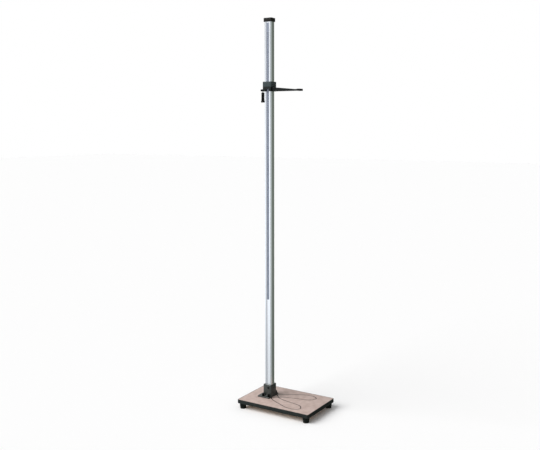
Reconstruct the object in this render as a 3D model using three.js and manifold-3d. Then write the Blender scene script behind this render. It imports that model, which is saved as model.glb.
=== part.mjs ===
// Stadiometer: a foot board on four feet, a scaled column in a bracket, and a sliding headboard with a lock.
// Millimetres, Z up. The origin is on the floor under the middle of the foot board.
// +X runs from the heels to the toes, so the headboard reaches out along +X.
// +Y is on the standing person's left.
import * as THREE from 'three';
import { mergeVertices } from 'three/addons/utils/BufferGeometryUtils.js';
import Module from 'manifold-3d';

const wasm = await Module();
wasm.setup();

// Gaps and counts shared by all pieces
const seatGap = 0.3;
const bondGap = 0.2;
const overrun = 1;
const cornerSteps = 5;
const roundSides = 24;
const screwSides = 12;
const hexSides = 6;

// Foot board
const boardLength = 450;
const boardWidth = 300;
const boardThickness = 21;
const boardCornerRadius = 8;
const bandThickness = 2.5;
const deckThickness = 1.2;

// Rubber feet, each on a screw with a washer in its bore
const footHeight = 30;
const footTopRadius = 19;
const footBottomRadius = 16;
const footChamfer = 2;
const footBoreRadius = 8.5;
const footWeb = 10;
const footInsetX = 24;
const footInsetY = 22;
const footScrewRadius = 2.5;
const footScrewHeadRadius = 5;
const footScrewHeadHeight = 3.2;
const footScrewBite = 14;
const footWasherRadius = 7.5;
const footWasherThickness = 1.6;

// Column: an extruded tube with a shallow hollow down each scale side
const columnFromBoardCentre = 105;
const columnWidth = 45;
const columnDepth = 36;
const columnCornerRadius = 8;
const columnWall = 2;
const columnTopHeight = 2057;
const columnIntoCap = 14;
const grooveWidth = 25;
const grooveDepth = 1.5;
const grooveSteps = 8;

// Scale strips, one in each hollow
const stripWidth = 13.7;
const stripThickness = 0.35;
const stripBottomHeight = 556;
const stripBelowCap = 6;
const stripSteps = 4;

// Cap on the column
const capHeight = 20;
const capOverhang = 2.6;
const capCornerRadius = 4;
const capChamfer = 1.5;
const capPlugWall = 2;

// Bracket that holds the column on the board
const flangeLength = 76.5;
const flangeWidth = 104;
const flangeThickness = 7;
const flangeBevel = 2.5;
const flangeCornerRadius = 4;
const flangeBeyondSocket = 0.5;
const socketHeight = 70;
const socketWallX = 3;
const socketWallY = 9;
const socketCornerRadius = 3.5;
const socketFloor = 4;
const socketRimChamfer = 1.2;
const flareReach = 3;
const flareHeight = 12;

// Bolts through the flange, with washers above and nuts in the board's underside
const flangeBoltSpacingX = 36;
const flangeBoltSpacingY = 79;
const flangeBoltOffset = -1.75;
const flangeBoltRadius = 4;
const flangeBoltHeadRadius = 6.5;
const flangeBoltHeadHeight = 12;
const flangeBoltKeyRadius = 3.4;
const flangeBoltKeyDepth = 5;
const flangeWasherRadius = 8.5;
const flangeWasherThickness = 1.6;
const nutRadius = 7.2;
const nutHeight = 6.5;
const nutRecessRadius = 9;
const nutRecessDepth = 9;
const boltPastNut = 1;

// Bolts that lock the column in the bracket, one on each scale side
const socketBoltOffset = 7;
const socketBoltHeight = 53;
const socketBoltRadius = 3;
const socketBoltHeadRadius = 5;
const socketBoltHeadHeight = 3.5;
const socketBoltKeyRadius = 2.6;
const socketBoltKeyDepth = 2;
const socketBoltSink = 4.2;
const socketBoltPastWall = 2;
const bossRadius = 8;
const bossHeight = 1;

// Slider: housing, collar and liners round the column, as parked in the photograph
const parkedBelowTop = 364;
const housingWallX = 4.4;
const housingWallY = 8.9;
const housingHeight = 27;
const housingCornerRadius = 3;
const housingChamfer = 1.2;
const collarHeight = 24;
const boreClearance = 1;
const runClearance = 0.3;
const linerThickness = 1.5;
const linerHeight = 8;
const notchWidth = 20;
const notchOffset = 3.4;
const notchBridge = 11.5;

// Screws that hold the collar under the housing
const collarScrewInset = 4.5;
const collarScrewRadius = 1.5;
const collarScrewHeadRadius = 2.5;
const collarScrewHeadHeight = 1.8;
const collarScrewSink = 0.5;
const collarScrewBite = 12;

// Headboard arm, in one piece with the collar, and its soft tip
const armLength = 168;
const armRootHeight = 21.7;
const armRootWidth = 36;
const armEndHeight = 8.4;
const armEndWidth = 30;
const armLevelShare = 0.82;
const armCornerRadius = 2;
const armCornerSteps = 2;
const armPocketDepth = 3;
const armPocketFlange = 4.2;
const armPocketStart = 10;
const armPocketEnd = 125;
const tipLength = 20;
const tipWall = 0.9;
const tipSleeve = 17;
const tipNarrowing = 7.5;
const tipThinning = 2;
const tipNose = 2.5;
const tipNoseShares = [[1, 0], [0.35, 0.33], [0, 1]];

// Lock lever: clamp screw, eye, stem, grip and knob on an axis along X
const lockHeight = 7;
const lockBossRadius = 6.5;
const lockBossReach = 8.5;
const insertRadius = 4.6;
const insertLength = 6.8;
const padRadius = 3.5;
const padGap = 0.35;
const padThickness = 3.4;
const clampRadius = 3;
const clampClearance = 0.25;
const eyeRadius = 6.3;
const eyeLength = 12.8;
const eyeChamfer = 1;
const knobRadius = 5.8;
const knobLength = 7.2;
const knobThread = 4.5;
const knobCrownShares = [[0, 0], [0.5, 0.13], [0.87, 0.5], [1, 1]];
const stemRadius = 2.4;
const stemIntoEye = 2;
const stemIntoGrip = 26;
const gripDrop = 10.8;
const gripLength = 44.7;
const gripRadius = 8.5;
const gripWaistRadius = 8.2;
const gripNeckRadius = 4.8;
const gripShoulder = 2.5;
const gripBoreRadius = 5;
const gripBoreDepth = 9;
const gripCapRadius = 10.2;
const gripCapHeight = 9;
const gripCapChamfer = 1.5;

// Places worked out from the sizes above
const boardUnderside = footHeight;
const boardTop = boardUnderside + boardThickness;
const halfColumnX = columnWidth / 2;
const halfColumnY = columnDepth / 2;
const grooveRadius = ((grooveWidth / 2) ** 2 + grooveDepth ** 2) / (2 * grooveDepth);
const grooveCentre = halfColumnY + grooveRadius - grooveDepth;
const socketX = columnWidth + 2 * (seatGap + socketWallX);
const socketY = columnDepth + 2 * (seatGap + socketWallY);
const flangeCentre = socketX / 2 + flangeBeyondSocket - flangeLength / 2;
const readingHeight = columnTopHeight - parkedBelowTop;
const housingX = columnWidth + 2 * housingWallX;
const housingY = columnDepth + 2 * housingWallY;
const linerX = columnWidth + 2 * (runClearance + linerThickness);
const linerY = columnDepth + 2 * (runClearance + linerThickness);
const linerCornerRadius = columnCornerRadius + runClearance + linerThickness;

// Materials: colour, roughness, metalness
const finishes = {
  blackCasting: [0x2e3232, 0.5, 0.1],
  blackPlastic: [0x1d2020, 0.45, 0],
  housingPlastic: [0x43494b, 0.5, 0],
  blackRubber: [0x161817, 0.85, 0],
  edgeBand: [0x151a19, 0.55, 0],
  board: [0xb08d66, 0.8, 0],
  deck: [0xc9b0a8, 0.6, 0],
  aluminium: [0xdfe3e6, 0.35, 0.9],
  strip: [0xa9b0b8, 0.5, 0.2],
  steel: [0x9a9c9c, 0.4, 0.9],
  blackSteel: [0x1b1d1e, 0.45, 0.7],
  brass: [0xb59a4c, 0.4, 0.9],
  nylon: [0xd8d4c6, 0.6, 0],
  acetal: [0x191a1b, 0.55, 0],
};

const stadiometer = new THREE.Group();
const base = new THREE.Group();
const post = new THREE.Group();
post.position.set(-columnFromBoardCentre, 0, boardTop);
const slider = new THREE.Group();
slider.position.set(0, 0, readingHeight);
post.add(slider);
stadiometer.add(base, post);

function place(name, geometry, finish, group) {
  const [color, roughness, metalness] = finishes[finish];
  const material = new THREE.MeshStandardMaterial({ color, roughness, metalness, flatShading: true });
  const mesh = new THREE.Mesh(geometry, material);
  mesh.name = name;
  group.add(mesh);
  return mesh;
}

// A geometry with shared corners merged and no flat slivers, ready for cutting
function closed(geometry) {
  const bare = geometry.clone();
  bare.deleteAttribute('normal');
  bare.deleteAttribute('uv');
  const merged = mergeVertices(bare);
  const kept = [];
  const index = merged.index.array;
  for (let i = 0; i < index.length; i += 3) {
    const [a, b, c] = [index[i], index[i + 1], index[i + 2]];
    if (a !== b && b !== c && c !== a) kept.push(a, b, c);
  }
  merged.setIndex(kept);
  return merged;
}

function solid(geometry) {
  const merged = closed(geometry);
  const vertProperties = new Float32Array(merged.attributes.position.array);
  const triVerts = new Uint32Array(merged.index.array);
  return new wasm.Manifold(new wasm.Mesh({ numProp: 3, vertProperties, triVerts }));
}

function geometryOf(body) {
  const mesh = body.getMesh();
  const geometry = new THREE.BufferGeometry();
  geometry.setAttribute('position', new THREE.BufferAttribute(new Float32Array(mesh.vertProperties), 3));
  geometry.setIndex(new THREE.BufferAttribute(new Uint32Array(mesh.triVerts), 1));
  return geometry;
}

// One piece made of joined geometries less the cutting ones
function shaped(joined, cutters) {
  let body = solid(joined[0]);
  for (const extra of joined.slice(1)) body = body.add(solid(extra));
  for (const cutter of cutters) body = body.subtract(solid(cutter));
  return geometryOf(body);
}

// Outline of a rectangle with rounded corners, anticlockwise
function roundedOutline(width, depth, radius, centreX = 0) {
  const points = [];
  const corners = [[1, 1], [-1, 1], [-1, -1], [1, -1]];
  corners.forEach(([sx, sy], quarter) => {
    for (let step = 0; step <= cornerSteps; step += 1) {
      const angle = (quarter + step / cornerSteps) * Math.PI / 2;
      const x = centreX + sx * (width / 2 - radius) + radius * Math.cos(angle);
      const y = sy * (depth / 2 - radius) + radius * Math.sin(angle);
      points.push(new THREE.Vector2(x, y));
    }
  });
  return points;
}

function prism(outline, bottom, top, holes = []) {
  const shape = new THREE.Shape(outline);
  for (const hole of holes) shape.holes.push(new THREE.Path(hole));
  const geometry = new THREE.ExtrudeGeometry(shape, { depth: top - bottom, bevelEnabled: false });
  return geometry.translate(0, 0, bottom);
}

// A skin through rings of points with equal counts, closed at both ends
function loft(rings) {
  const count = rings[0].length;
  const positions = rings.flat().flatMap((point) => [point.x, point.y, point.z]);
  const index = [];
  for (let ring = 0; ring + 1 < rings.length; ring += 1) {
    for (let i = 0; i < count; i += 1) {
      const a = ring * count + i;
      const b = ring * count + (i + 1) % count;
      index.push(a, b, b + count, a, b + count, a + count);
    }
  }
  const last = (rings.length - 1) * count;
  for (let i = 1; i + 1 < count; i += 1) {
    index.push(0, i + 1, i, last, last + i, last + i + 1);
  }
  const geometry = new THREE.BufferGeometry();
  geometry.setAttribute('position', new THREE.Float32BufferAttribute(positions, 3));
  geometry.setIndex(index);
  return geometry;
}

function level(outline, z) {
  return outline.map((point) => new THREE.Vector3(point.x, point.y, z));
}

// A solid of revolution about Z from [radius, height] pairs
function turned(profile, sides = roundSides) {
  const points = profile.map(([radius, height]) => new THREE.Vector2(radius, height));
  return closed(new THREE.LatheGeometry(points, sides).rotateX(Math.PI / 2));
}

function rod(radius, bottom, top, sides = roundSides) {
  return turned([[0, bottom], [radius, bottom], [radius, top], [0, top]], sides);
}

// A washer or bush: a ring about Z
function ring(outer, inner, bottom, top, sides = roundSides) {
  const profile = [[inner, bottom], [outer, bottom], [outer, top], [inner, top], [inner, bottom]];
  return turned(profile, sides);
}

// A screw standing on its tip at z = -length, its head above z = 0, with a key recess in the head
function screw({ radius, length, headRadius, headHeight, keyRadius, keyDepth }) {
  const edge = headHeight / 6;
  return turned([
    [0, -length], [radius - edge, -length], [radius, edge - length], [radius, 0], [headRadius, 0],
    [headRadius, headHeight - edge], [headRadius - edge, headHeight], [keyRadius, headHeight],
    [keyRadius, headHeight - keyDepth], [0, headHeight - keyDepth],
  ], screwSides);
}

function alongX(geometry) {
  return geometry.rotateY(Math.PI / 2);
}

// Board: core, deck on top and band round the edge
function boardOutline(inset) {
  return roundedOutline(boardLength - 2 * inset, boardWidth - 2 * inset, boardCornerRadius - inset);
}

const panelInset = bandThickness + seatGap;
const coreTop = boardTop - deckThickness - bondGap;
const footPlaces = [];
const flangeBoltPlaces = [];
for (const sx of [-1, 1]) {
  for (const sy of [-1, 1]) {
    footPlaces.push([sx * (boardLength / 2 - footInsetX), sy * (boardWidth / 2 - footInsetY)]);
    const boltX = flangeBoltOffset + sx * flangeBoltSpacingX / 2;
    flangeBoltPlaces.push([boltX, sy * flangeBoltSpacingY / 2]);
  }
}

function makeBoard() {
  const footPilots = footPlaces.map(([x, y]) => rod(
    footScrewRadius + seatGap,
    boardUnderside - overrun,
    boardUnderside + footScrewBite + overrun,
    screwSides,
  ).translate(x, y, 0));
  const boltHoles = [];
  const nutRecesses = [];
  for (const [x, y] of flangeBoltPlaces) {
    const holeX = x - columnFromBoardCentre;
    const hole = rod(flangeBoltRadius + seatGap, boardUnderside - overrun, boardTop + overrun, screwSides);
    boltHoles.push(hole.translate(holeX, y, 0));
    const recess = rod(nutRecessRadius, boardUnderside - overrun, boardUnderside + nutRecessDepth);
    nutRecesses.push(recess.translate(holeX, y, 0));
  }
  const core = prism(boardOutline(panelInset), boardUnderside, coreTop);
  place('base_core', shaped([core], [...footPilots, ...boltHoles, ...nutRecesses]), 'board', base);
  const deck = prism(boardOutline(panelInset), boardTop - deckThickness, boardTop);
  place('foot_deck', shaped([deck], boltHoles), 'deck', base);
  const band = prism(boardOutline(0), boardUnderside, boardTop, [boardOutline(bandThickness)]);
  place('edge_band', band, 'edgeBand', base);
}

function makeFeet() {
  const top = footHeight - seatGap;
  const boreTop = top - footWeb;
  const holeRadius = footScrewRadius + seatGap;
  const washerTop = boreTop - seatGap;
  const headTop = washerTop - footWasherThickness - seatGap;
  footPlaces.forEach(([x, y], i) => {
    const foot = turned([
      [holeRadius, boreTop], [footBoreRadius, boreTop], [footBoreRadius, 0],
      [footBottomRadius - footChamfer, 0], [footBottomRadius, footChamfer],
      [footTopRadius, top - footChamfer], [footTopRadius - footChamfer, top],
      [holeRadius, top], [holeRadius, boreTop],
    ]);
    place(`foot_${i + 1}`, foot, 'blackRubber', base).position.set(x, y, 0);
    const washer = ring(footWasherRadius, holeRadius, washerTop - footWasherThickness, washerTop, screwSides);
    place(`foot_washer_${i + 1}`, washer, 'steel', base).position.set(x, y, 0);
    const pin = screw({
      radius: footScrewRadius,
      length: footHeight - headTop + footScrewBite,
      headRadius: footScrewHeadRadius,
      headHeight: footScrewHeadHeight,
      keyRadius: footScrewHeadRadius / 2,
      keyDepth: footScrewHeadHeight / 2,
    });
    const screwMesh = place(`foot_screw_${i + 1}`, pin, 'steel', base);
    screwMesh.rotation.x = Math.PI;
    screwMesh.position.set(x, y, headTop);
  });
}

// Column bracket, its bolts, washers and nuts. Heights here start from the board's top
function makeBracket() {
  const flangeOutline = roundedOutline(flangeLength, flangeWidth, flangeCornerRadius, flangeCentre);
  const flangeRim = roundedOutline(
    flangeLength - 2 * flangeBevel,
    flangeWidth - 2 * flangeBevel,
    flangeCornerRadius - flangeBevel,
    flangeCentre,
  );
  const flange = loft([
    level(flangeOutline, seatGap),
    level(flangeOutline, flangeThickness - flangeBevel),
    level(flangeRim, flangeThickness),
  ]);
  const socketOutline = roundedOutline(socketX, socketY, socketCornerRadius);
  const rimInset = 2 * socketRimChamfer;
  const rimRadius = socketCornerRadius - socketRimChamfer;
  const socketRim = roundedOutline(socketX - rimInset, socketY - rimInset, rimRadius);
  const flareOutline = roundedOutline(socketX, socketY + 2 * flareReach, socketCornerRadius);
  const socket = loft([
    level(socketOutline, socketFloor),
    level(socketOutline, socketHeight - socketRimChamfer),
    level(socketRim, socketHeight),
  ]);
  const flare = loft([
    level(flareOutline, socketFloor),
    level(flareOutline, flangeThickness),
    level(socketOutline, flangeThickness + flareHeight),
  ]);
  const pocket = prism(
    roundedOutline(columnWidth + 2 * seatGap, columnDepth + 2 * seatGap, columnCornerRadius + seatGap),
    socketFloor,
    socketHeight + overrun,
  );
  const boltHoles = flangeBoltPlaces.map(([x, y]) => rod(
    flangeBoltRadius + seatGap,
    -overrun,
    flangeThickness + overrun,
    screwSides,
  ).translate(x, y, 0));
  const wallOuter = socketY / 2 + bossHeight;
  const bosses = [];
  const sideHoles = [];
  for (const side of [-1, 1]) {
    const boss = rod(bossRadius, halfColumnY + socketWallY / 2, wallOuter);
    const hole = rod(socketBoltRadius + seatGap, 0, wallOuter + overrun, screwSides);
    const sinkBottom = wallOuter - socketBoltSink - socketBoltHeadHeight;
    const sink = rod(socketBoltHeadRadius + 2 * seatGap, sinkBottom, wallOuter + overrun);
    for (const piece of [boss, hole, sink]) {
      piece.rotateX(-side * Math.PI / 2).translate(socketBoltOffset, 0, socketBoltHeight);
    }
    bosses.push(boss);
    sideHoles.push(hole, sink);
  }
  const bracket = shaped([flange, socket, flare, ...bosses], [pocket, ...boltHoles, ...sideHoles]);
  place('column_bracket', bracket, 'blackCasting', post);

  const washerBottom = flangeThickness + seatGap;
  const headBottom = washerBottom + flangeWasherThickness + seatGap;
  const nutTop = nutRecessDepth - boardThickness - seatGap;
  const nutBottom = nutTop - nutHeight;
  flangeBoltPlaces.forEach(([x, y], i) => {
    const washer = ring(
      flangeWasherRadius,
      flangeBoltRadius + seatGap,
      washerBottom,
      washerBottom + flangeWasherThickness,
      screwSides,
    );
    place(`flange_washer_${i + 1}`, washer, 'blackSteel', post).position.set(x, y, 0);
    const bolt = screw({
      radius: flangeBoltRadius,
      length: headBottom - nutBottom + boltPastNut,
      headRadius: flangeBoltHeadRadius,
      headHeight: flangeBoltHeadHeight,
      keyRadius: flangeBoltKeyRadius,
      keyDepth: flangeBoltKeyDepth,
    });
    place(`flange_bolt_${i + 1}`, bolt, 'blackSteel', post).position.set(x, y, headBottom);
    const nut = shaped(
      [rod(nutRadius, nutBottom, nutTop, hexSides)],
      [rod(flangeBoltRadius + seatGap, nutBottom - overrun, nutTop + overrun, screwSides)],
    );
    place(`flange_nut_${i + 1}`, nut, 'steel', post).position.set(x, y, 0);
  });

  const boltSeat = wallOuter - socketBoltSink - socketBoltHeadHeight + seatGap;
  const boltTip = halfColumnY - grooveDepth - columnWall - socketBoltPastWall;
  [['right', -1], ['left', 1]].forEach(([sideName, side]) => {
    const bolt = screw({
      radius: socketBoltRadius,
      length: boltSeat - boltTip,
      headRadius: socketBoltHeadRadius,
      headHeight: socketBoltHeadHeight,
      keyRadius: socketBoltKeyRadius,
      keyDepth: socketBoltKeyDepth,
    });
    const mesh = place(`socket_bolt_${sideName}`, bolt, 'blackSteel', post);
    mesh.rotation.x = -side * Math.PI / 2;
    mesh.position.set(socketBoltOffset, side * boltSeat, socketBoltHeight);
  });
}

// Column outline: rounded corners and a shallow hollow on each scale side, anticlockwise
function columnOutline() {
  const corners = roundedOutline(columnWidth, columnDepth, columnCornerRadius);
  const half = Math.asin(grooveWidth / 2 / grooveRadius);
  const groove = (side) => {
    const points = [];
    for (let step = 0; step <= grooveSteps; step += 1) {
      const angle = half * (1 - 2 * step / grooveSteps);
      const x = side * grooveRadius * Math.sin(angle);
      const y = side * (grooveCentre - grooveRadius * Math.cos(angle));
      points.push(new THREE.Vector2(x, y));
    }
    return points;
  };
  const quarter = cornerSteps + 1;
  return [
    ...corners.slice(0, quarter), ...groove(1),
    ...corners.slice(quarter, 3 * quarter), ...groove(-1),
    ...corners.slice(3 * quarter),
  ];
}

const cavityX = columnWidth - 2 * columnWall;
const cavityY = columnDepth - 2 * (columnWall + grooveDepth);
const cavityRadius = columnCornerRadius - columnWall;

function makeColumn() {
  const bottom = socketFloor + seatGap;
  const top = columnTopHeight + columnIntoCap;
  const tube = prism(columnOutline(), bottom, top, [roundedOutline(cavityX, cavityY, cavityRadius)]);
  const sideHole = rod(socketBoltRadius + seatGap, -columnDepth, columnDepth, screwSides);
  sideHole.rotateX(Math.PI / 2).translate(socketBoltOffset, 0, socketBoltHeight);
  place('column', shaped([tube], [sideHole]), 'aluminium', post);

  const capX = columnWidth + 2 * capOverhang;
  const capY = columnDepth + 2 * capOverhang;
  const capTop = columnTopHeight + capHeight;
  const capOutline = roundedOutline(capX, capY, capCornerRadius);
  const capRim = roundedOutline(capX - 2 * capChamfer, capY - 2 * capChamfer, capCornerRadius - capChamfer);
  const crown = loft([
    level(capOutline, columnTopHeight),
    level(capOutline, capTop - capChamfer),
    level(capRim, capTop),
  ]);
  const plugX = cavityX - 2 * seatGap;
  const plugY = cavityY - 2 * seatGap;
  const plugRadius = cavityRadius - seatGap;
  const slotOutline = roundedOutline(
    columnWidth + 2 * seatGap,
    columnDepth + 2 * seatGap,
    columnCornerRadius + seatGap,
  );
  const slot = prism(slotOutline, columnTopHeight - overrun, top + seatGap);
  const plug = prism(
    roundedOutline(plugX, plugY, plugRadius),
    columnTopHeight,
    top + capPlugWall,
    [roundedOutline(plugX - 2 * capPlugWall, plugY - 2 * capPlugWall, plugRadius - capPlugWall)],
  );
  const cap = geometryOf(solid(crown).subtract(solid(slot)).add(solid(plug)));
  place('column_cap', cap, 'blackPlastic', post);
}

// A printed strip bent to the floor of the hollow
function makeStrips() {
  const outer = grooveRadius - bondGap;
  const inner = outer - stripThickness;
  const half = Math.asin(stripWidth / 2 / outer);
  [['right', -1], ['left', 1]].forEach(([sideName, side]) => {
    const points = [];
    for (const [radius, way] of [[outer, 1], [inner, -1]]) {
      for (let step = 0; step <= stripSteps; step += 1) {
        const angle = way * half * (1 - 2 * step / stripSteps);
        const x = side * radius * Math.sin(angle);
        points.push(new THREE.Vector2(x, side * (grooveCentre - radius * Math.cos(angle))));
      }
    }
    const strip = prism(points, stripBottomHeight, columnTopHeight - stripBelowCap);
    place(`scale_strip_${sideName}`, strip, 'strip', post);
  });
}

// Slider housing and liners. Heights here start from the reading plane, the headboard's underside
const housingBottom = collarHeight + seatGap;
const housingTop = housingBottom + housingHeight;
const boreX = columnWidth + 2 * boreClearance;
const boreY = columnDepth + 2 * boreClearance;
const boreRadius = columnCornerRadius + boreClearance;
const collarScrewPlaces = [[-1, -1], [-1, 1], [1, -1], [1, 1]].map(([sx, sy]) => [
  sx * (housingX / 2 - collarScrewInset),
  sy * (housingY / 2 - collarScrewInset),
]);

function makeHousing() {
  const outline = roundedOutline(housingX, housingY, housingCornerRadius);
  const rimInset = 2 * housingChamfer;
  const rim = roundedOutline(housingX - rimInset, housingY - rimInset, housingCornerRadius - housingChamfer);
  const block = loft([
    level(outline, housingBottom),
    level(outline, housingTop - housingChamfer),
    level(rim, housingTop),
  ]);
  const bore = prism(roundedOutline(boreX, boreY, boreRadius), housingBottom - overrun, housingTop + overrun);
  const seatOutline = roundedOutline(linerX + 2 * seatGap, linerY + 2 * seatGap, linerCornerRadius + seatGap);
  const upperSeat = housingTop - linerHeight - seatGap;
  const lowerSeat = housingBottom + linerHeight + seatGap;
  const seats = [
    prism(seatOutline, housingBottom - overrun, lowerSeat),
    prism(seatOutline, upperSeat, housingTop + overrun),
  ];
  const screwHoles = collarScrewPlaces.map(([x, y]) => rod(
    collarScrewRadius + seatGap,
    housingBottom - overrun,
    housingBottom + collarScrewBite + overrun,
    screwSides,
  ).translate(x, y, 0));
  place('slider_housing', shaped([block], [bore, ...seats, ...screwHoles]), 'housingPlastic', slider);

  const linerOutline = roundedOutline(linerX, linerY, linerCornerRadius);
  const linerInner = roundedOutline(
    columnWidth + 2 * runClearance,
    columnDepth + 2 * runClearance,
    columnCornerRadius + runClearance,
  );
  const lower = prism(linerOutline, housingBottom, housingBottom + linerHeight, [linerInner]);
  place('guide_liner_lower', lower, 'acetal', slider);
  const upper = prism(linerOutline, housingTop - linerHeight, housingTop, [linerInner]);
  place('guide_liner_upper', upper, 'acetal', slider);
}

// Headboard: the collar with its two reading notches, the lock boss and the tapering arm, in one moulding
function armSection(x, width, bottom, top) {
  const ring = [];
  const corners = [[1, 1], [-1, 1], [-1, -1], [1, -1]];
  corners.forEach(([sy, sz], quarter) => {
    for (let step = 0; step <= armCornerSteps; step += 1) {
      const angle = (quarter + step / armCornerSteps) * Math.PI / 2;
      const y = sy * (width / 2 - armCornerRadius) + armCornerRadius * Math.cos(angle);
      const middle = (top + bottom) / 2;
      const z = middle + sz * ((top - bottom) / 2 - armCornerRadius) + armCornerRadius * Math.sin(angle);
      ring.push(new THREE.Vector3(x, y, z));
    }
  });
  return ring;
}

const armRootX = housingX / 2;
const armEndX = armRootX + armLength;
const armLevelX = armRootX + armLength * armLevelShare;
const armLevelWidth = armRootWidth + (armEndWidth - armRootWidth) * armLevelShare;

function makeHeadboard() {
  const outline = roundedOutline(housingX, housingY, housingCornerRadius);
  const collar = prism(outline, 0, collarHeight);
  const heightInCollar = Math.min(armRootHeight, collarHeight - seatGap);
  const arm = loft([
    armSection(armRootX - housingWallX / 2, armRootWidth, 0, heightInCollar),
    armSection(armRootX + seatGap, armRootWidth, 0, heightInCollar),
    armSection(armRootX + 2 * seatGap, armRootWidth, 0, armRootHeight),
    armSection(armLevelX, armLevelWidth, 0, armEndHeight),
    armSection(armEndX, armEndWidth, 0, armEndHeight),
  ]);
  const lockBoss = alongX(rod(
    lockBossRadius,
    -armRootX - lockBossReach,
    -armRootX + housingWallX / 2,
  )).translate(0, 0, lockHeight);

  const bore = prism(roundedOutline(boreX, boreY, boreRadius), -overrun, collarHeight + overrun);
  const notchDepth = housingWallY + overrun;
  const notchTop = collarHeight - notchBridge;
  const notches = [-1, 1].map((side) => {
    const notch = new THREE.BoxGeometry(notchWidth, notchDepth, notchTop + overrun);
    return notch.translate(notchOffset, side * (halfColumnY + notchDepth / 2), (notchTop - overrun) / 2);
  });
  const sinkTop = collarScrewSink + collarScrewHeadHeight + seatGap;
  const screwHoles = collarScrewPlaces.flatMap(([x, y]) => [
    rod(collarScrewRadius + seatGap, -overrun, collarHeight + overrun, screwSides).translate(x, y, 0),
    rod(collarScrewHeadRadius + seatGap, -overrun, sinkTop, screwSides).translate(x, y, 0),
  ]);
  const pockets = [-1, 1].map(armPocket);
  const boreStart = -armRootX - lockBossReach - overrun;
  const padBore = alongX(rod(padRadius + seatGap, -armRootX - overrun, -halfColumnX));
  const insertBore = alongX(rod(insertRadius + seatGap, boreStart, -armRootX - bondGap));
  for (const bored of [padBore, insertBore]) bored.translate(0, 0, lockHeight);
  const cutters = [bore, ...notches, ...screwHoles, ...pockets, padBore, insertBore];
  place('headboard', shaped([collar, arm, lockBoss], cutters), 'blackPlastic', slider);

  collarScrewPlaces.forEach(([x, y], i) => {
    const pin = screw({
      radius: collarScrewRadius,
      length: housingBottom + collarScrewBite - collarScrewSink - collarScrewHeadHeight,
      headRadius: collarScrewHeadRadius,
      headHeight: collarScrewHeadHeight,
      keyRadius: collarScrewHeadRadius / 2,
      keyDepth: collarScrewHeadHeight / 2,
    });
    const mesh = place(`collar_screw_${i + 1}`, pin, 'blackSteel', slider);
    mesh.rotation.x = Math.PI;
    mesh.position.set(x, y, collarScrewSink + collarScrewHeadHeight);
  });

  makeTip();
}

// Cutter for the long tapering pocket in one side of the arm
function armPocket(side) {
  const start = armRootX + armPocketStart;
  const end = armRootX + armPocketEnd;
  const slope = (armRootHeight - armEndHeight) / (armLevelX - armRootX);
  const low = armPocketFlange;
  const highAt = (x) => armRootHeight - slope * (x - armRootX) - armPocketFlange;
  const outline = [
    new THREE.Vector2(start, low),
    new THREE.Vector2(end, low),
    new THREE.Vector2(end, Math.max(highAt(end), low + seatGap)),
    new THREE.Vector2(start, highAt(start)),
  ];
  const widthTaper = Math.atan2((armRootWidth - armEndWidth) / 2, armLength);
  const cutter = prism(outline, 0, armRootWidth);
  cutter.rotateX(Math.PI / 2);
  if (side > 0) cutter.translate(0, armRootWidth, 0);
  const wallAt = armRootWidth / 2 - armPocketDepth;
  cutter.translate(-armRootX, side * wallAt, 0);
  cutter.rotateZ(-side * widthTaper);
  return cutter.translate(armRootX, 0, 0);
}

// Soft end cap pulled over the arm's end
function makeTip() {
  const clear = tipWall + seatGap;
  const start = armEndX - tipSleeve;
  const end = start + tipLength;
  const startWidth = armEndWidth + (armRootWidth - armEndWidth) * tipSleeve / armLength;
  const section = (x, armWidth, narrowing) => {
    const width = armWidth + 2 * clear - narrowing * tipNarrowing;
    const halfHeight = armEndHeight / 2 + clear - narrowing * tipThinning / 2;
    return armSection(x, width, armEndHeight / 2 - halfHeight, armEndHeight / 2 + halfHeight);
  };
  const nose = tipNoseShares.map(([back, narrowing]) => section(end - back * tipNose, armEndWidth, narrowing));
  const body = loft([section(start, startWidth, 0), ...nose]);
  const mouthSection = (x, armWidth) => armSection(
    x,
    armWidth + 2 * seatGap,
    -seatGap,
    armEndHeight + seatGap,
  );
  const mouth = loft([mouthSection(start - overrun, startWidth), mouthSection(armEndX + seatGap, armEndWidth)]);
  place('headboard_tip', shaped([body], [mouth]), 'blackRubber', slider);
}

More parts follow.
